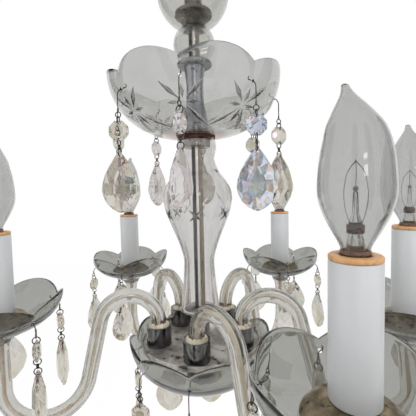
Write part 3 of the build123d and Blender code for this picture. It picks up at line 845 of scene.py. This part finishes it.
def closeTube(obj, inner, foot, top):
    # joins the outer and inner skins of a tube at both ends
    both = joinAll(obj.name, [obj, inner])
    half = armReach() / 2 * mm
    for level, atFoot in ((foot, True), (top, False)):
        flags = [abs(v.co.z - level * mm) < 0.01 * mm and (v.co.x < half) == atFoot
                 for v in both.data.vertices]
        for face in both.data.polygons:
            face.select = False
        for edge in both.data.edges:
            edge.select = all(flags[v] for v in edge.vertices)
        for vertex in both.data.vertices:
            vertex.select = flags[vertex.index]
        pickOnly(both)
        bpy.ops.object.mode_set(mode="EDIT")
        bpy.ops.mesh.bridge_edge_loops()
        toObject()
    facesOut(both)
    smoothBy(both, 50)
    return both


def capTube(obj):
    editAll(obj)
    bpy.ops.mesh.fill_holes(sides=0)
    facesOut(obj)
    smoothBy(obj, 60)
    return obj


candle = {"sleeveD": 25, "sleeveWall": 1.1, "seatD": 53, "seatFlat": 1.5, "seatDome": 10.5, "seatThick": 1.2,
          "seatBore": 5, "gap": 0.2, "holderBore": 7.2, "holderWall": 1.3, "socketDepth": 25, "barrel": 30,
          "nipple": (4.8, 3.2), "nippleTail": 9}
bulb = {
    "profile": [(6.2, 0), (7.6, 4.5), (10.9, 10.5), (14.6, 18), (16.9, 25), (17.5, 31), (17.2, 38),
                (16.1, 48), (13.4, 59), (10.2, 65), (7.2, 69.5), (3.6, 74.5), (2.2, 77.4), (1.7, 79.2)],
    "top": 80, "wall": 0.8, "bendFrom": 54, "bend": 5.2, "wireR": 0.2, "base": 6.8, "pitch": 1.4, "rings": 13,
    "stem": [(0, 0.3), (5.0, 0.3), (4.2, 4), (3.2, 9), (3.0, 15), (1.5, 19), (1.1, 29), (0, 30)],
    "collar": [(3.2, 9.5), (4.1, 10), (4.1, 13.6), (3.2, 14.2)],
    "seal": [(6.3, -0.1), (7.0, -0.1), (7.0, 1.3), (6.4, 1.6)],
    "bead": [(0.01, 29.4), (1.0, 29.8), (1.4, 30.8), (1.0, 31.8), (0.01, 32.2)],
    "bow": [(2.6, 13), (5.2, 21), (6.0, 29), (4.6, 38)], "filament": [(4.6, 38), (2.4, 41.2), (0, 44)],
    "rod": [(0, 31.5), (0.5, 38), (0, 44.6)],
}


def makeSeat():
    high = zSpan("arm_1_sleeve")[0] - candle["gap"]
    low = high - candle["seatDome"]
    r = candle["seatD"] / 2
    flat = candle["sleeveD"] / 2 + candle["seatFlat"]
    thick = candle["seatThick"]
    bore = candle["seatBore"]
    rise = high - low
    half = (r + flat) / 2
    shoulder = low + 0.72 * rise
    outer = smoothLine([(r, low), (r - 0.6, low + 0.2 * rise), (half, shoulder), (flat, high)], 6)
    under = smoothLine([(flat, high - thick), (half - 0.6 * thick, shoulder - thick), (r - thick, low)], 6)
    return spinUp("seatPan", [*outer, (bore, high), (bore, high - thick), *under], 64, smooth=50)


def makeSleeve():
    low, high = zSpan("arm_1_sleeve")
    r = candle["sleeveD"] / 2
    inner = r - candle["sleeveWall"]
    edge = 0.5
    profile = [(r - edge, low), (r, low + edge), (r, (low + high) / 2), (r, high - edge), (r - edge, high),
               (inner, high), (inner, low)]
    return spinUp("candleSleeve", profile, 64, smooth=50)


def makeHolder():
    # insulating rim with a rounded edge, over the lampholder's barrel
    low = zSpan("arm_1_sleeve")[1] + candle["gap"]
    high = candleRim
    foot = high - candle["barrel"]
    r = candle["sleeveD"] / 2
    bore = candle["holderBore"]
    edge, chamfer = 0.7, 0.3
    body = r - candle["holderWall"]
    profile = [(bore, high - candle["socketDepth"]), (bore, high - edge), (bore + edge, high),
               (r - edge, high), (r, high - edge), (r, low + chamfer), (r - chamfer, low), (body, low),
               (body, foot), (bore, foot)]
    return spinUp("holderRim", profile, 64, smooth=50)


def makeNipple():
    low = zSpan("arm_1_bobeche")[0] - candle["nippleTail"]
    high = candleRim - candle["barrel"] - candle["gap"]
    outer, inner = candle["nipple"]
    return spinUp("nipplePipe", [(outer, low), (outer, high), (inner, high), (inner, low)], 32)


def bendTip(obj, way):
    for vertex in obj.data.vertices:
        rise = vertex.co.z / mm - candleRim - bulb["bendFrom"]
        if rise > 0:
            shift = bulb["bend"] * (rise / (bulb["top"] - bulb["bendFrom"])) ** 1.5
            vertex.co += way * shift * mm
    obj.data.update()


def makeBulb(way):
    foot = zSpan("arm_1_bulb")[1] - bulb["top"]
    side = [(r, foot + z) for r, z in smoothLine(bulb["profile"], 4)]
    tip = [(0.8, foot + bulb["top"] - 0.15), (0, foot + bulb["top"])]
    inner = [(max(r - bulb["wall"], 0), z) for r, z in side]
    inside = [(0, foot + bulb["top"] - 2 * bulb["wall"]), *reversed(inner)]
    envelope = spinUp("bulbEnvelope", [*inside, *side, *tip], 64, smooth=50, closed=False)
    bendTip(envelope, way)
    return envelope, foot


def makeBulbInside(foot):
    # flared stem with a dark collar, two bowed lead wires, a bead on its rod and the bent filament
    def risen(kind):
        return [(r, foot + z) for r, z in bulb[kind]]

    stem = spinUp("bulbStem", risen("stem"), 24, closed=False, smooth=50)
    collar = spinUp("bulbCollar", risen("collar"), 24)
    seal = spinUp("bulbSeal", risen("seal"), 32)
    bead = spinUp("bulbBead", risen("bead"), 16)
    thin, thick = bulb["wireR"], bulb["wireR"] * 1.3
    wires = []
    for s in (-1, 1):
        bow = smoothLine([(s * x, 0, z) for x, z in risen("bow")], 5)
        wires.append(bendWire("bulbWire", bow, thin))
        wires.append(bendWire("bulbWire", [(s * x, 0, z) for x, z in risen("filament")], thick))
    wires.append(bendWire("bulbWire", [(0, y, z) for y, z in risen("rod")], thin))
    base = spinUp("bulbBase", threadProfile(foot), 32, smooth=50)
    return stem, joinAll("bulbMount", [collar, seal]), joinAll("bulbWires", [bead, *wires]), base


def threadProfile(foot):
    # rolled thread, shown as rings, and the contact under it
    r = bulb["base"]
    top = foot - 0.2
    side = [(r - 0.2 - 0.35 * (k % 2), top - bulb["pitch"] * k) for k in range(bulb["rings"])]
    low = side[-1][1]
    return [(0.01, top), *side, (r - 2.5, low - 1.6), (2.2, low - 2.6), (0.01, low - 2.8)]


# Prism strings, modelled from the hole at the origin
wire = {"r": 0.45, "reach": 5, "inside": 4, "bend": 4, "eye": 2.2, "link": 2.9, "gap": 0.12, "pin": 2.4,
        "curl": [(0.6, 2.2), (-0.4, 1.2)], "wrapR": 0.62, "wrapTurns": 16, "wrapRise": 0.16}
twists = {"upper": [70, -35, -58, 20, -30, 22, -15, 45], "lower": [25, -20, 40, -30, 15, -40, 30, 45],
          "dish": [15, -35, 50, -10, 30]}
button = {"width": 16, "thick": 5.8, "edge": 1.8, "inset": 2.1, "sides": 8,
          "ground": [(1, 0.5, 0.57, 0), (0.985, 0.0, 0.8, 0.1)]}
prism = {"width": 32, "length": 50, "thick": 10, "edge": 1.6, "inset": 4, "belly": 1.45, "round": 0.62,
         "facets": 12, "hole": 1.3, "points": 24, "middle": 0.62, "ground": [(0.0, 0.42, 0.3), (0.5, 0.72, 0.1)]}
crystalDrill = 30


def circleOf(height, r, plane, steps=20):
    # a ring of points about the string's axis
    ring = []
    for k in range(steps):
        t = 2 * math.pi * k / steps
        a, b = r * math.cos(t), r * math.sin(t)
        ring.append((0, a, height + b) if plane == "YZ" else (a, 0, height + b))
    return ring


def hookPath(tilt, length):
    slope = math.radians(tilt)
    corner = Vector((wire["reach"], 0, -wire["reach"] * math.tan(slope)))
    inside = Vector((-wire["inside"] * math.cos(slope), 0, wire["inside"] * math.sin(slope)))
    end = corner - Vector((0, 0, length))
    bend = wire["bend"]
    a = corner + (inside - corner).normalized() * bend
    b = corner + (end - corner).normalized() * bend
    rounded = [a * (1 - t) ** 2 + corner * 2 * t * (1 - t) + b * t**2 for t in (0, 0.25, 0.5, 0.75, 1)]
    curl = [inside + Vector((x, 0, z)) for x, z in wire["curl"]]
    return [*curl, inside, *rounded, end], end


def stringHeights(tilt, length):
    _, end = hookPath(tilt, length)
    eye = end.z - wire["eye"]
    ringZ = eye - wire["eye"] + 2 * wire["r"] + wire["gap"] - wire["link"]
    hole = ringZ - wire["link"]
    buttonZ = hole - button["width"] / 2 + button["inset"]
    pinTop = 2 * buttonZ - hole
    prismZ = pinTop - 4 * wire["link"] - wire["pin"]
    return {"eye": eye, "ring": ringZ, "button": buttonZ, "pinTop": pinTop, "prism": prismZ}


def makeHook(tilt, length):
    # hook through the wall, with the twist that closes its eye
    path, end = hookPath(tilt, length)
    x = wire["reach"]
    r, rise = wire["wrapR"], wire["wrapRise"]
    wrap = [(x + r * math.cos(t), r * math.sin(t), end.z + 0.3 + rise * t) for t in range(wire["wrapTurns"])]
    return joinAll("stringHook", [bendWire("hookWire", path, wire["r"]), bendWire("hookWire", wrap, 0.28, 6)])


def makeLinks(tilt, length):
    # eye, jump ring and the wound pin between button and prism, about the string's own axis
    z = stringHeights(tilt, length)
    link = wire["link"]
    upper = z["pinTop"] - link
    lower = upper - 2 * link - wire["pin"]
    knotTop, knotLow = upper - link + 0.6, lower + link - 0.6
    coilR, turns, steps = 0.75, 1.2, 24
    coil = []
    for t in range(steps + 1):
        height = knotLow + (knotTop - knotLow) * t / steps
        coil.append((coilR * math.cos(t * turns), coilR * math.sin(t * turns), height))
    pieces = [bendWire("linkWire", circleOf(z["eye"], wire["eye"], "YZ"), wire["r"], closed=True)]
    for height in (z["ring"], upper, lower):
        pieces.append(bendWire("linkWire", circleOf(height, link, "XZ"), wire["r"], closed=True))
    pieces.append(bendWire("linkWire", coil, 0.5, 6))
    return joinAll("stringLinks", pieces)


def slab(name, outline, thick):
    # a flat outline in YZ, drawn out to a slab of a thickness along X
    obj = drawLine(name, [Vector((-thick / 2, y, z)) for y, z in outline])
    editAll(obj)
    bpy.ops.mesh.edge_face_add()
    bpy.ops.mesh.extrude_region_move(TRANSFORM_OT_translate={"value": (thick * mm, 0, 0)})
    facesOut(obj)
    return obj


def grind(obj, spot, normal):
    # one facet, ground flat
    editAll(obj)
    bpy.ops.mesh.bisect(plane_co=spot * mm, plane_no=normal, use_fill=True, clear_outer=True)
    toObject()


def grindFacets(obj, outline, inset, slope, girdle):
    count = len(outline)
    for k in range(count):
        a = Vector((0, *outline[k]))
        b = Vector((0, *outline[(k + 1) % count]))
        out = (b - a).cross(Vector((1, 0, 0))).normalized()
        middle = Vector((0, *inset))
        if out.dot((a + b) / 2 - middle) < 0:
            out = -out
        for side in (-1, 1):
            grind(obj, (a + b) / 2 + Vector((side * girdle, 0, 0)), Vector((side, 0, 0)) + out * slope)


def pearOutline(steps, shift=0.0):
    # half a step of shift puts the facets between those of no shift
    points = []
    for k in range(steps):
        t = 2 * math.pi * (k + shift) / steps
        u = (1 - math.cos(t)) / 2
        half = prism["width"] / 2 * abs(math.sin(math.pi * u ** prism["belly"])) ** prism["round"]
        points.append((half if t < math.pi else -half, prism["inset"] - prism["length"] * u))
    return points


def makePrism():
    outline = pearOutline(prism["points"])
    middle = (0, prism["inset"] - prism["length"] * prism["middle"])
    obj = slab("pearPrism", outline, prism["thick"])
    for shift, slope, rise in prism["ground"]:
        grindFacets(obj, pearOutline(prism["facets"], shift), middle, slope, prism["edge"] / 2 + rise)
    drillHoles(obj, [(Vector((0, 0, 0)), Vector((1, 0, 0)))], prism["hole"], crystalDrill)
    return obj


def octagon(width, shift=0.5):
    r = width / 2 / math.cos(math.pi / button["sides"])
    turns = [2 * math.pi * (k + shift) / button["sides"] for k in range(button["sides"])]
    return [(r * math.cos(t), r * math.sin(t)) for t in turns]


def makeButton():
    obj = slab("octagonButton", octagon(button["width"]), button["thick"])
    for share, shift, slope, rise in button["ground"]:
        grindFacets(obj, octagon(button["width"] * share, shift), (0, 0), slope, button["edge"] / 2 + rise)
    up = button["width"] / 2 - button["inset"]
    drillHoles(obj, [(Vector((0, 0, s * up)), Vector((1, 0, 0))) for s in (-1, 1)], prism["hole"], crystalDrill)
    return obj


# Tints of the crystals, by the way that a facet faces
warmHues = [(0.3, (0.43, 0.4, 0.31)), (0.42, (0.55, 0.52, 0.44)), (0.52, (0.63, 0.62, 0.58)),
            (0.6, (0.7, 0.7, 0.68)), (0.68, (0.58, 0.49, 0.38)), (0.74, (0.48, 0.55, 0.63))]
coolHues = [(0.3, (0.52, 0.52, 0.54)), (0.4, (0.46, 0.52, 0.68)), (0.47, (0.7, 0.71, 0.75)),
            (0.53, (0.48, 0.56, 0.76)), (0.58, (0.85, 0.85, 0.85)), (0.63, (0.72, 0.44, 0.3)),
            (0.68, (0.42, 0.68, 0.74)), (0.74, (0.72, 0.7, 0.54))]
paleHues = [(0.3, (0.52, 0.49, 0.47)), (0.45, (0.64, 0.61, 0.59)), (0.55, (0.72, 0.71, 0.7)),
            (0.65, (0.62, 0.61, 0.65)), (0.74, (0.68, 0.63, 0.57))]


def crystalMaterial(name, hues, film):
    # cut crystal with a rainbow film: each facet takes its own tint from the way that it faces
    values = {"Wave Scale": 120, "Film Scale": 90, "Clear": (0.8, 0.8, 0.78), "Film": (0.7, 0.7, 0.66)}
    shader = {"Transmission Weight": 1.0, "IOR": 1.56, "Thin Film Thickness": film, "Thin Film IOR": 1.72}
    material = groupMaterial(name, "handledGlass", values, None, shader)
    tree, surface, _ = colourOf(material)
    where = addNode(tree, "ShaderNodeTexCoord").outputs
    grown = addNode(tree, "ShaderNodeVectorMath", {0: where["Object"], "Scale": 25}, operation="SCALE")
    both = addNode(tree, "ShaderNodeVectorMath", {0: grown.outputs["Vector"], 1: where["Normal"]},
                   operation="ADD")
    drift = noise(tree, both.outputs["Vector"], {"Scale": 1.6, "Detail": 2.0})
    feed(tree, surface, {"Base Color": rampColour(tree, hues, drift)})
    darkenEdges(material, (0.24, 0.23, 0.19), 0.25)
    return letLightThrough(material, (0.85, 0.85, 0.84))


warmCrystal = crystalMaterial("warmCrystal", warmHues, 300)
coolCrystal = crystalMaterial("coolCrystal", coolHues, 368)
paleCrystal = crystalMaterial("paleCrystal", paleHues, 340)
otherCrystals = {"upper_string_1": paleCrystal, "upper_string_2": coolCrystal, "upper_string_6": paleCrystal}


def wallPoint(size, low, high):
    # middle of a bowl's wall at its string holes, and the tilt of a hole
    drop = size["holeDrop"]
    across = size["rim"] - size["base"] - size["wall"] / 2
    down = high - low - size["wall"] / 2
    turn = math.asin(drop / down)
    tilt = math.degrees(math.atan2(math.sin(turn) / down, math.cos(turn) / across))
    return size["base"] + across * math.cos(turn), high - drop, tilt


hooks = {"bowl": 17, "dish": 5}


def stringShapes(buttonShape, prismShape, tilt, length):
    z = stringHeights(tilt, length)
    return {
        "hook": (makeHook(tilt, length), None),
        "links": (makeLinks(tilt, length), 0),
        "button": (buttonShape, z["button"]),
        "prism": (prismShape, z["prism"]),
    }


def hangString(shapes, matrix, twist, label):
    # the hook keeps to its hole, and what hangs from it is turned by twist
    turn = Matrix.Translation((wire["reach"] * mm, 0, 0)) @ Matrix.Rotation(math.radians(twist), 4, "Z")
    copies = {}
    for kind, (shape, height) in shapes.items():
        drop = Matrix.Identity(4) if height is None else turn @ Matrix.Translation((0, 0, height * mm))
        copies[kind] = copyOf(shape, f"{label}{kind.title()}", matrix @ drop)
    strung = joinAll(f"{label}Wire", [copies.pop("hook"), copies.pop("links")])
    return {"wire": strung, **copies}


def finishesOf(node):
    crystal = otherCrystals.get(node, warmCrystal)
    return {"button": crystal, "prism": crystal, "wire": wireMetal}


def makeBowlStrings(buttonShape, prismShape):
    for name, size in (("upper", upperBowl), ("lower", lowerBowl)):
        tilt = wallPoint(size, *zSpan(f"{name}_bowl"))[2]
        shapes = stringShapes(buttonShape, prismShape, tilt, hooks["bowl"])
        for k in range(1, size["petals"] + 1):
            node = f"{name}_string_{k}"
            copies = hangString(shapes, stringFrame(node), twists[name][k - 1], f"{name}String{k}")
            for kind, obj in copies.items():
                settle(obj, node, "crystal", finishesOf(node)[kind], node)
        discard(shapes["hook"][0], shapes["links"][0])
    print("bowl strings hung")


def makeDishStrings(buttonShape, prismShape):
    r, z, tilt = wallPoint(dripDish, *zSpan("arm_1_bobeche"))
    shapes = stringShapes(buttonShape, prismShape, tilt, hooks["dish"])
    gathered = {kind: [] for kind in finishesOf("dish")}
    reach = Matrix.Translation((armReach() * mm, 0, z * mm))
    for k in range(dripDish["petals"]):
        turn = Matrix.Rotation(2 * math.pi * k / dripDish["petals"], 4, "Z")
        spot = reach @ turn @ Matrix.Translation((r * mm, 0, 0))
        for kind, obj in hangString(shapes, spot, twists["dish"][k], f"dishString{k}").items():
            gathered[kind].append(obj)
    discard(shapes["hook"][0], shapes["links"][0])
    return {kind: joinAll(f"dishString{kind.title()}", objs) for kind, objs in gathered.items()}


def makeDish():
    low, high = zSpan("arm_1_bobeche")
    r, z, tilt = wallPoint(dripDish, low, high)
    outermost = 90
    holes = []
    for k in range(dripDish["petals"]):
        azimuth = outermost + 360 * k / dripDish["petals"]
        out = onAzimuth(1, azimuth, -math.tan(math.radians(tilt)))
        holes.append((onAzimuth(r, azimuth, z), out.normalized()))
    obj = petalBowl("dripDish", dripDish, low, high, outermost, holes)
    smoothBy(obj, 30)
    return place(obj, Matrix.Translation((armReach() * mm, 0, 0)))


def twinLead(low):
    # two cores side by side, as one flat lead
    high = candleRim - candle["barrel"] - 1
    cores = []
    for side in (-1, 1):
        core = capTube(bentTube("lead", armTube["core"], low, high))
        cores.append(place(core, Matrix.Translation((0, side * armTube["core"] / 2 * mm, 0))))
    return joinAll("lead", cores)


plug = {"r": 9.9, "waves": [(5, 0.35), (11, 0.45), (17, 0.3)]}


def roughTop(obj):
    # plaster that was pressed in by hand, with an uneven edge
    for vertex in obj.data.vertices:
        if vertex.co.z > cupTop * mm:
            turn = math.atan2(vertex.co.y, vertex.co.x)
            vertex.co.z += sum(size * math.sin(count * turn + count) for count, size in plug["waves"]) * mm
    obj.data.update()


def makePlug(foot):
    r = armTube["d"] / 2
    edge = plug["r"]
    side = [(r + 0.05, foot), (edge, foot), (edge, cupTop - 0.6), (9.8, cupTop + 0.7), (9.2, cupTop + 1.5),
            (8.2, cupTop + 1.9), (r + 0.4, cupTop + 2.6), (r, cupTop + 2.8)]
    obj = spinUp("plasterPlug", side, 60)
    roughTop(obj)
    return obj


def makeTube(foot):
    # glass tube with its bore, flared under the dish
    top = zSpan("arm_1_bobeche")[0] - candle["gap"]
    low = top - armTube["flareHeight"]
    r = armTube["d"] / 2
    flare = armTube["flareD"] / 2
    stations = smoothLine([(r, low), (r + 1, low + 6), (r + 3.4, low + 12), (flare - 0.8, top - 3),
                           (flare, top - 1.4), (flare - 0.6, top)], 3)
    outer = bentTube("armGlassTube", armTube["d"], foot, top, stations)
    inner = bentTube("armBore", armTube["bore"], foot, top)
    return closeTube(outer, inner, foot, top)


def makeArms(buttonShape, prismShape):
    foot = cupTop - armTube["footDrop"]
    tube = makeTube(foot)
    lead = twinLead(zSpan("hub_plate")[0] - armTube["leadTail"])
    candlePlace = Matrix.Translation((armReach() * mm, 0, 0))
    shapes = {
        "Tube": (tube, "clear_glass", armGlass, ""),
        "Plaster": (makePlug(foot), "clear_glass", plaster, ""),
        "Lead": (lead, "lampholder", leadCover, "_lampholder"),
        "Dish": (makeDish(), "clear_glass", bowlGlass, "_bobeche"),
        "Seat": (place(makeSeat(), candlePlace), "lampholder", seatMetal, "_lampholder"),
        "Sleeve": (place(makeSleeve(), candlePlace), "candle_sleeve", sleeveWhite, "_sleeve"),
        "Holder": (place(makeHolder(), candlePlace), "lampholder", tanRim, "_lampholder"),
        "Nipple": (place(makeNipple(), candlePlace), "lampholder", nickel, "_lampholder"),
    }
    for kind, obj in makeDishStrings(buttonShape, prismShape).items():
        shapes[f"String{kind.title()}"] = (obj, "crystal", finishesOf("dish")[kind], "_strings")
    for k in range(1, armCount + 1):
        for kind, (shape, slot, material, ending) in shapes.items():
            obj = copyOf(shape, f"arm{k}{kind}", armFrame(k))
            settle(obj, f"arm_{k}", slot, material, f"arm_{k}{ending}")
    discard(*[shape[0] for shape in shapes.values()])
    print("arms made")


def makeBulbs():
    toLeft = armFrame(1).to_3x3().inverted() @ Vector((-1, 0, 0))
    envelope, foot = makeBulb(toLeft)
    stem, mount, wires, base = makeBulbInside(foot)
    candlePlace = Matrix.Translation((armReach() * mm, 0, 0))
    shapes = {"Envelope": (envelope, bulbGlass), "Stem": (stem, bulbGlass), "Mount": (mount, bulbCement),
              "Wires": (wires, bulbSteel), "Base": (base, nickel)}
    for k in range(1, armCount + 1):
        for kind, (shape, material) in shapes.items():
            obj = copyOf(shape, f"bulb{k}{kind}", armFrame(k) @ candlePlace)
            settle(obj, f"bulb_{k}", "bulb_glass", material, f"arm_{k}_bulb")
    discard(*[shape[0] for shape in shapes.values()])
    print("bulbs made")


metalNodes = {"hanging_loop": chrome, "ball_spool": darkSpool, "bowl_spool": chrome, "bowl_washer": copper,
              "rod_nuts": nickel, "central_rod": rodSteel, "hub_cups": cupChrome,
              "bottom_finial": chrome}


def dressMetal():
    for node, material in metalNodes.items():
        obj = frame["nodes"][node]
        obj.data.materials.clear()
        obj.data.materials.append(material)
    print("metal dressed")


# Stage: white surround, pale floor, soft lamps, and the camera where the photographer stood
stage = {"floor": -1400, "size": 9000, "sky": 0.55, "skyTint": (0.98, 0.99, 1),
         "floorColour": (0.9, 0.9, 0.9), "floorGlow": 0.98, "card": (0.03, 0.03, 0.03)}
lamps = [
    {"name": "windowLamp", "place": (1100, -1100, 700), "size": (1600, 1800), "watts": 26, "mirrored": False},
    {"name": "leftLamp", "place": (-1500, -500, 400), "size": (1400, 1600), "watts": 16, "mirrored": False},
    {"name": "backLamp", "place": (200, 1500, 600), "size": (1600, 1000), "watts": 11, "mirrored": False},
    {"name": "upperPane", "place": (354, -1520, 240), "size": (480, 110), "watts": 1.2, "mirrored": True},
    {"name": "lowerPane", "place": (354, -1520, 40), "size": (480, 100), "watts": 1.0, "mirrored": True},
]
cards = [
    {"place": (-420, -1300, -100), "size": (420, 2200)}, {"place": (520, -1300, -100), "size": (360, 2200)},
    {"place": (1500, 200, -100), "size": (700, 2200)}, {"place": (-1500, 600, -100), "size": (700, 2200)},
]
camera = {"place": (28.95, -300.7, -244.4), "yaw": -3.67, "pitch": -3.27, "roll": -1.28, "lens": 27.0,
          "sensor": 36.0}


def seenRays(tree):
    # 1 for rays that show the surround: straight from the camera, mirrored or through glass
    path = addNode(tree, "ShaderNodeLightPath").outputs
    first = mathNode(tree, "MAXIMUM", path["Is Camera Ray"], path["Is Glossy Ray"])
    return mathNode(tree, "MAXIMUM", first, path["Is Transmission Ray"])


def makeSky():
    world = bpy.data.worlds.new("studio")
    scene.world = world
    world.use_nodes = True
    tree = world.node_tree
    shown = feed(tree, tree.nodes["Background"], {"Color": (1, 1, 1, 1), "Strength": 1})
    daylight = {"Color": paint(stage["skyTint"]), "Strength": stage["sky"]}
    light = addNode(tree, "ShaderNodeBackground", daylight)
    mixShaders(tree, seenRays(tree), light, shown, "World Output")


def makeFloor():
    deselect()
    bpy.ops.mesh.primitive_plane_add(size=stage["size"] * mm, location=(0, 0, stage["floor"] * mm))
    floor = named("floor")
    material, tree, surface = newMaterial("paleFloor")
    feed(tree, surface, {"Base Color": paint(stage["floorColour"]), "Roughness": 0.8})
    glow = addNode(tree, "ShaderNodeEmission", {"Strength": 1})
    share = mathNode(tree, "MULTIPLY", seenRays(tree), stage["floorGlow"])
    mixShaders(tree, share, surface, glow, "Material Output")
    floor.data.materials.append(material)


def makeCards():
    # dark cards round the set, shown only by mirrored rays, give the metal and the glass their dark streaks
    material, tree, surface = newMaterial("darkCard")
    feed(tree, surface, {"Base Color": paint(stage["card"]), "Roughness": 0.9})
    for k, card in enumerate(cards):
        deselect()
        bpy.ops.mesh.primitive_plane_add(size=mm)
        obj = named(f"card{k}")
        spot = Vector(card["place"])
        turn = Vector((-spot.x, -spot.y, 0)).to_track_quat("Z", "Y").to_matrix().to_4x4()
        width, height = card["size"]
        place(obj, Matrix.Translation(spot * mm) @ turn @ Matrix.Diagonal((width, height, 1, 1)))
        obj.data.materials.append(material)
        for ray in ("camera", "diffuse", "transmission", "shadow"):
            setattr(obj, f"visible_{ray}", False)


def makeLamps():
    target = Vector((0, 0, -0.25))
    for lamp in lamps:
        light = bpy.data.lights.new(lamp["name"], "AREA")
        light.shape = "RECTANGLE"
        light.size, light.size_y = (side * mm for side in lamp["size"])
        light.energy = lamp["watts"]
        obj = bpy.data.objects.new(lamp["name"], light)
        scene.collection.objects.link(obj)
        obj.location = Vector(lamp["place"]) * mm
        obj.rotation_euler = (target - obj.location).to_track_quat("-Z", "Y").to_euler()
        obj.visible_camera = False
        obj.visible_transmission = False
        obj.visible_glossy = lamp["mirrored"]


def makeCamera():
    yaw, pitch, roll = (math.radians(camera[key]) for key in ("yaw", "pitch", "roll"))
    ahead = Vector((math.sin(yaw) * math.cos(pitch), math.cos(yaw) * math.cos(pitch), math.sin(pitch)))
    right = Vector((math.cos(yaw), -math.sin(yaw), 0))
    up = right.cross(ahead)
    level = right * math.cos(roll) + up * math.sin(roll)
    upright = up * math.cos(roll) - right * math.sin(roll)
    turn = Matrix((level, upright, -ahead)).transposed().to_4x4()
    lens = bpy.data.cameras.new("camera")
    lens.lens = camera["lens"]
    lens.sensor_width = camera["sensor"]
    lens.clip_start = 0.01
    obj = bpy.data.objects.new("camera", lens)
    scene.collection.objects.link(obj)
    obj.matrix_world = Matrix.Translation(Vector(camera["place"]) * mm) @ turn
    scene.camera = obj


makeBowls()
makeBalls()
makeBaluster()
makeHub()
buttonShape = makeButton()
prismShape = makePrism()
makeBowlStrings(buttonShape, prismShape)
makeArms(buttonShape, prismShape)
makeBulbs()
discard(buttonShape, prismShape)
dressMetal()
makeSky()
makeFloor()
makeCards()
makeLamps()
makeCamera()
scene.view_settings.view_transform = "Standard"
scene.cycles.max_bounces = 24
scene.cycles.transmission_bounces = 24
scene.cycles.glossy_bounces = 8
scene.cycles.transparent_max_bounces = 24
deselect()
print("scene made")
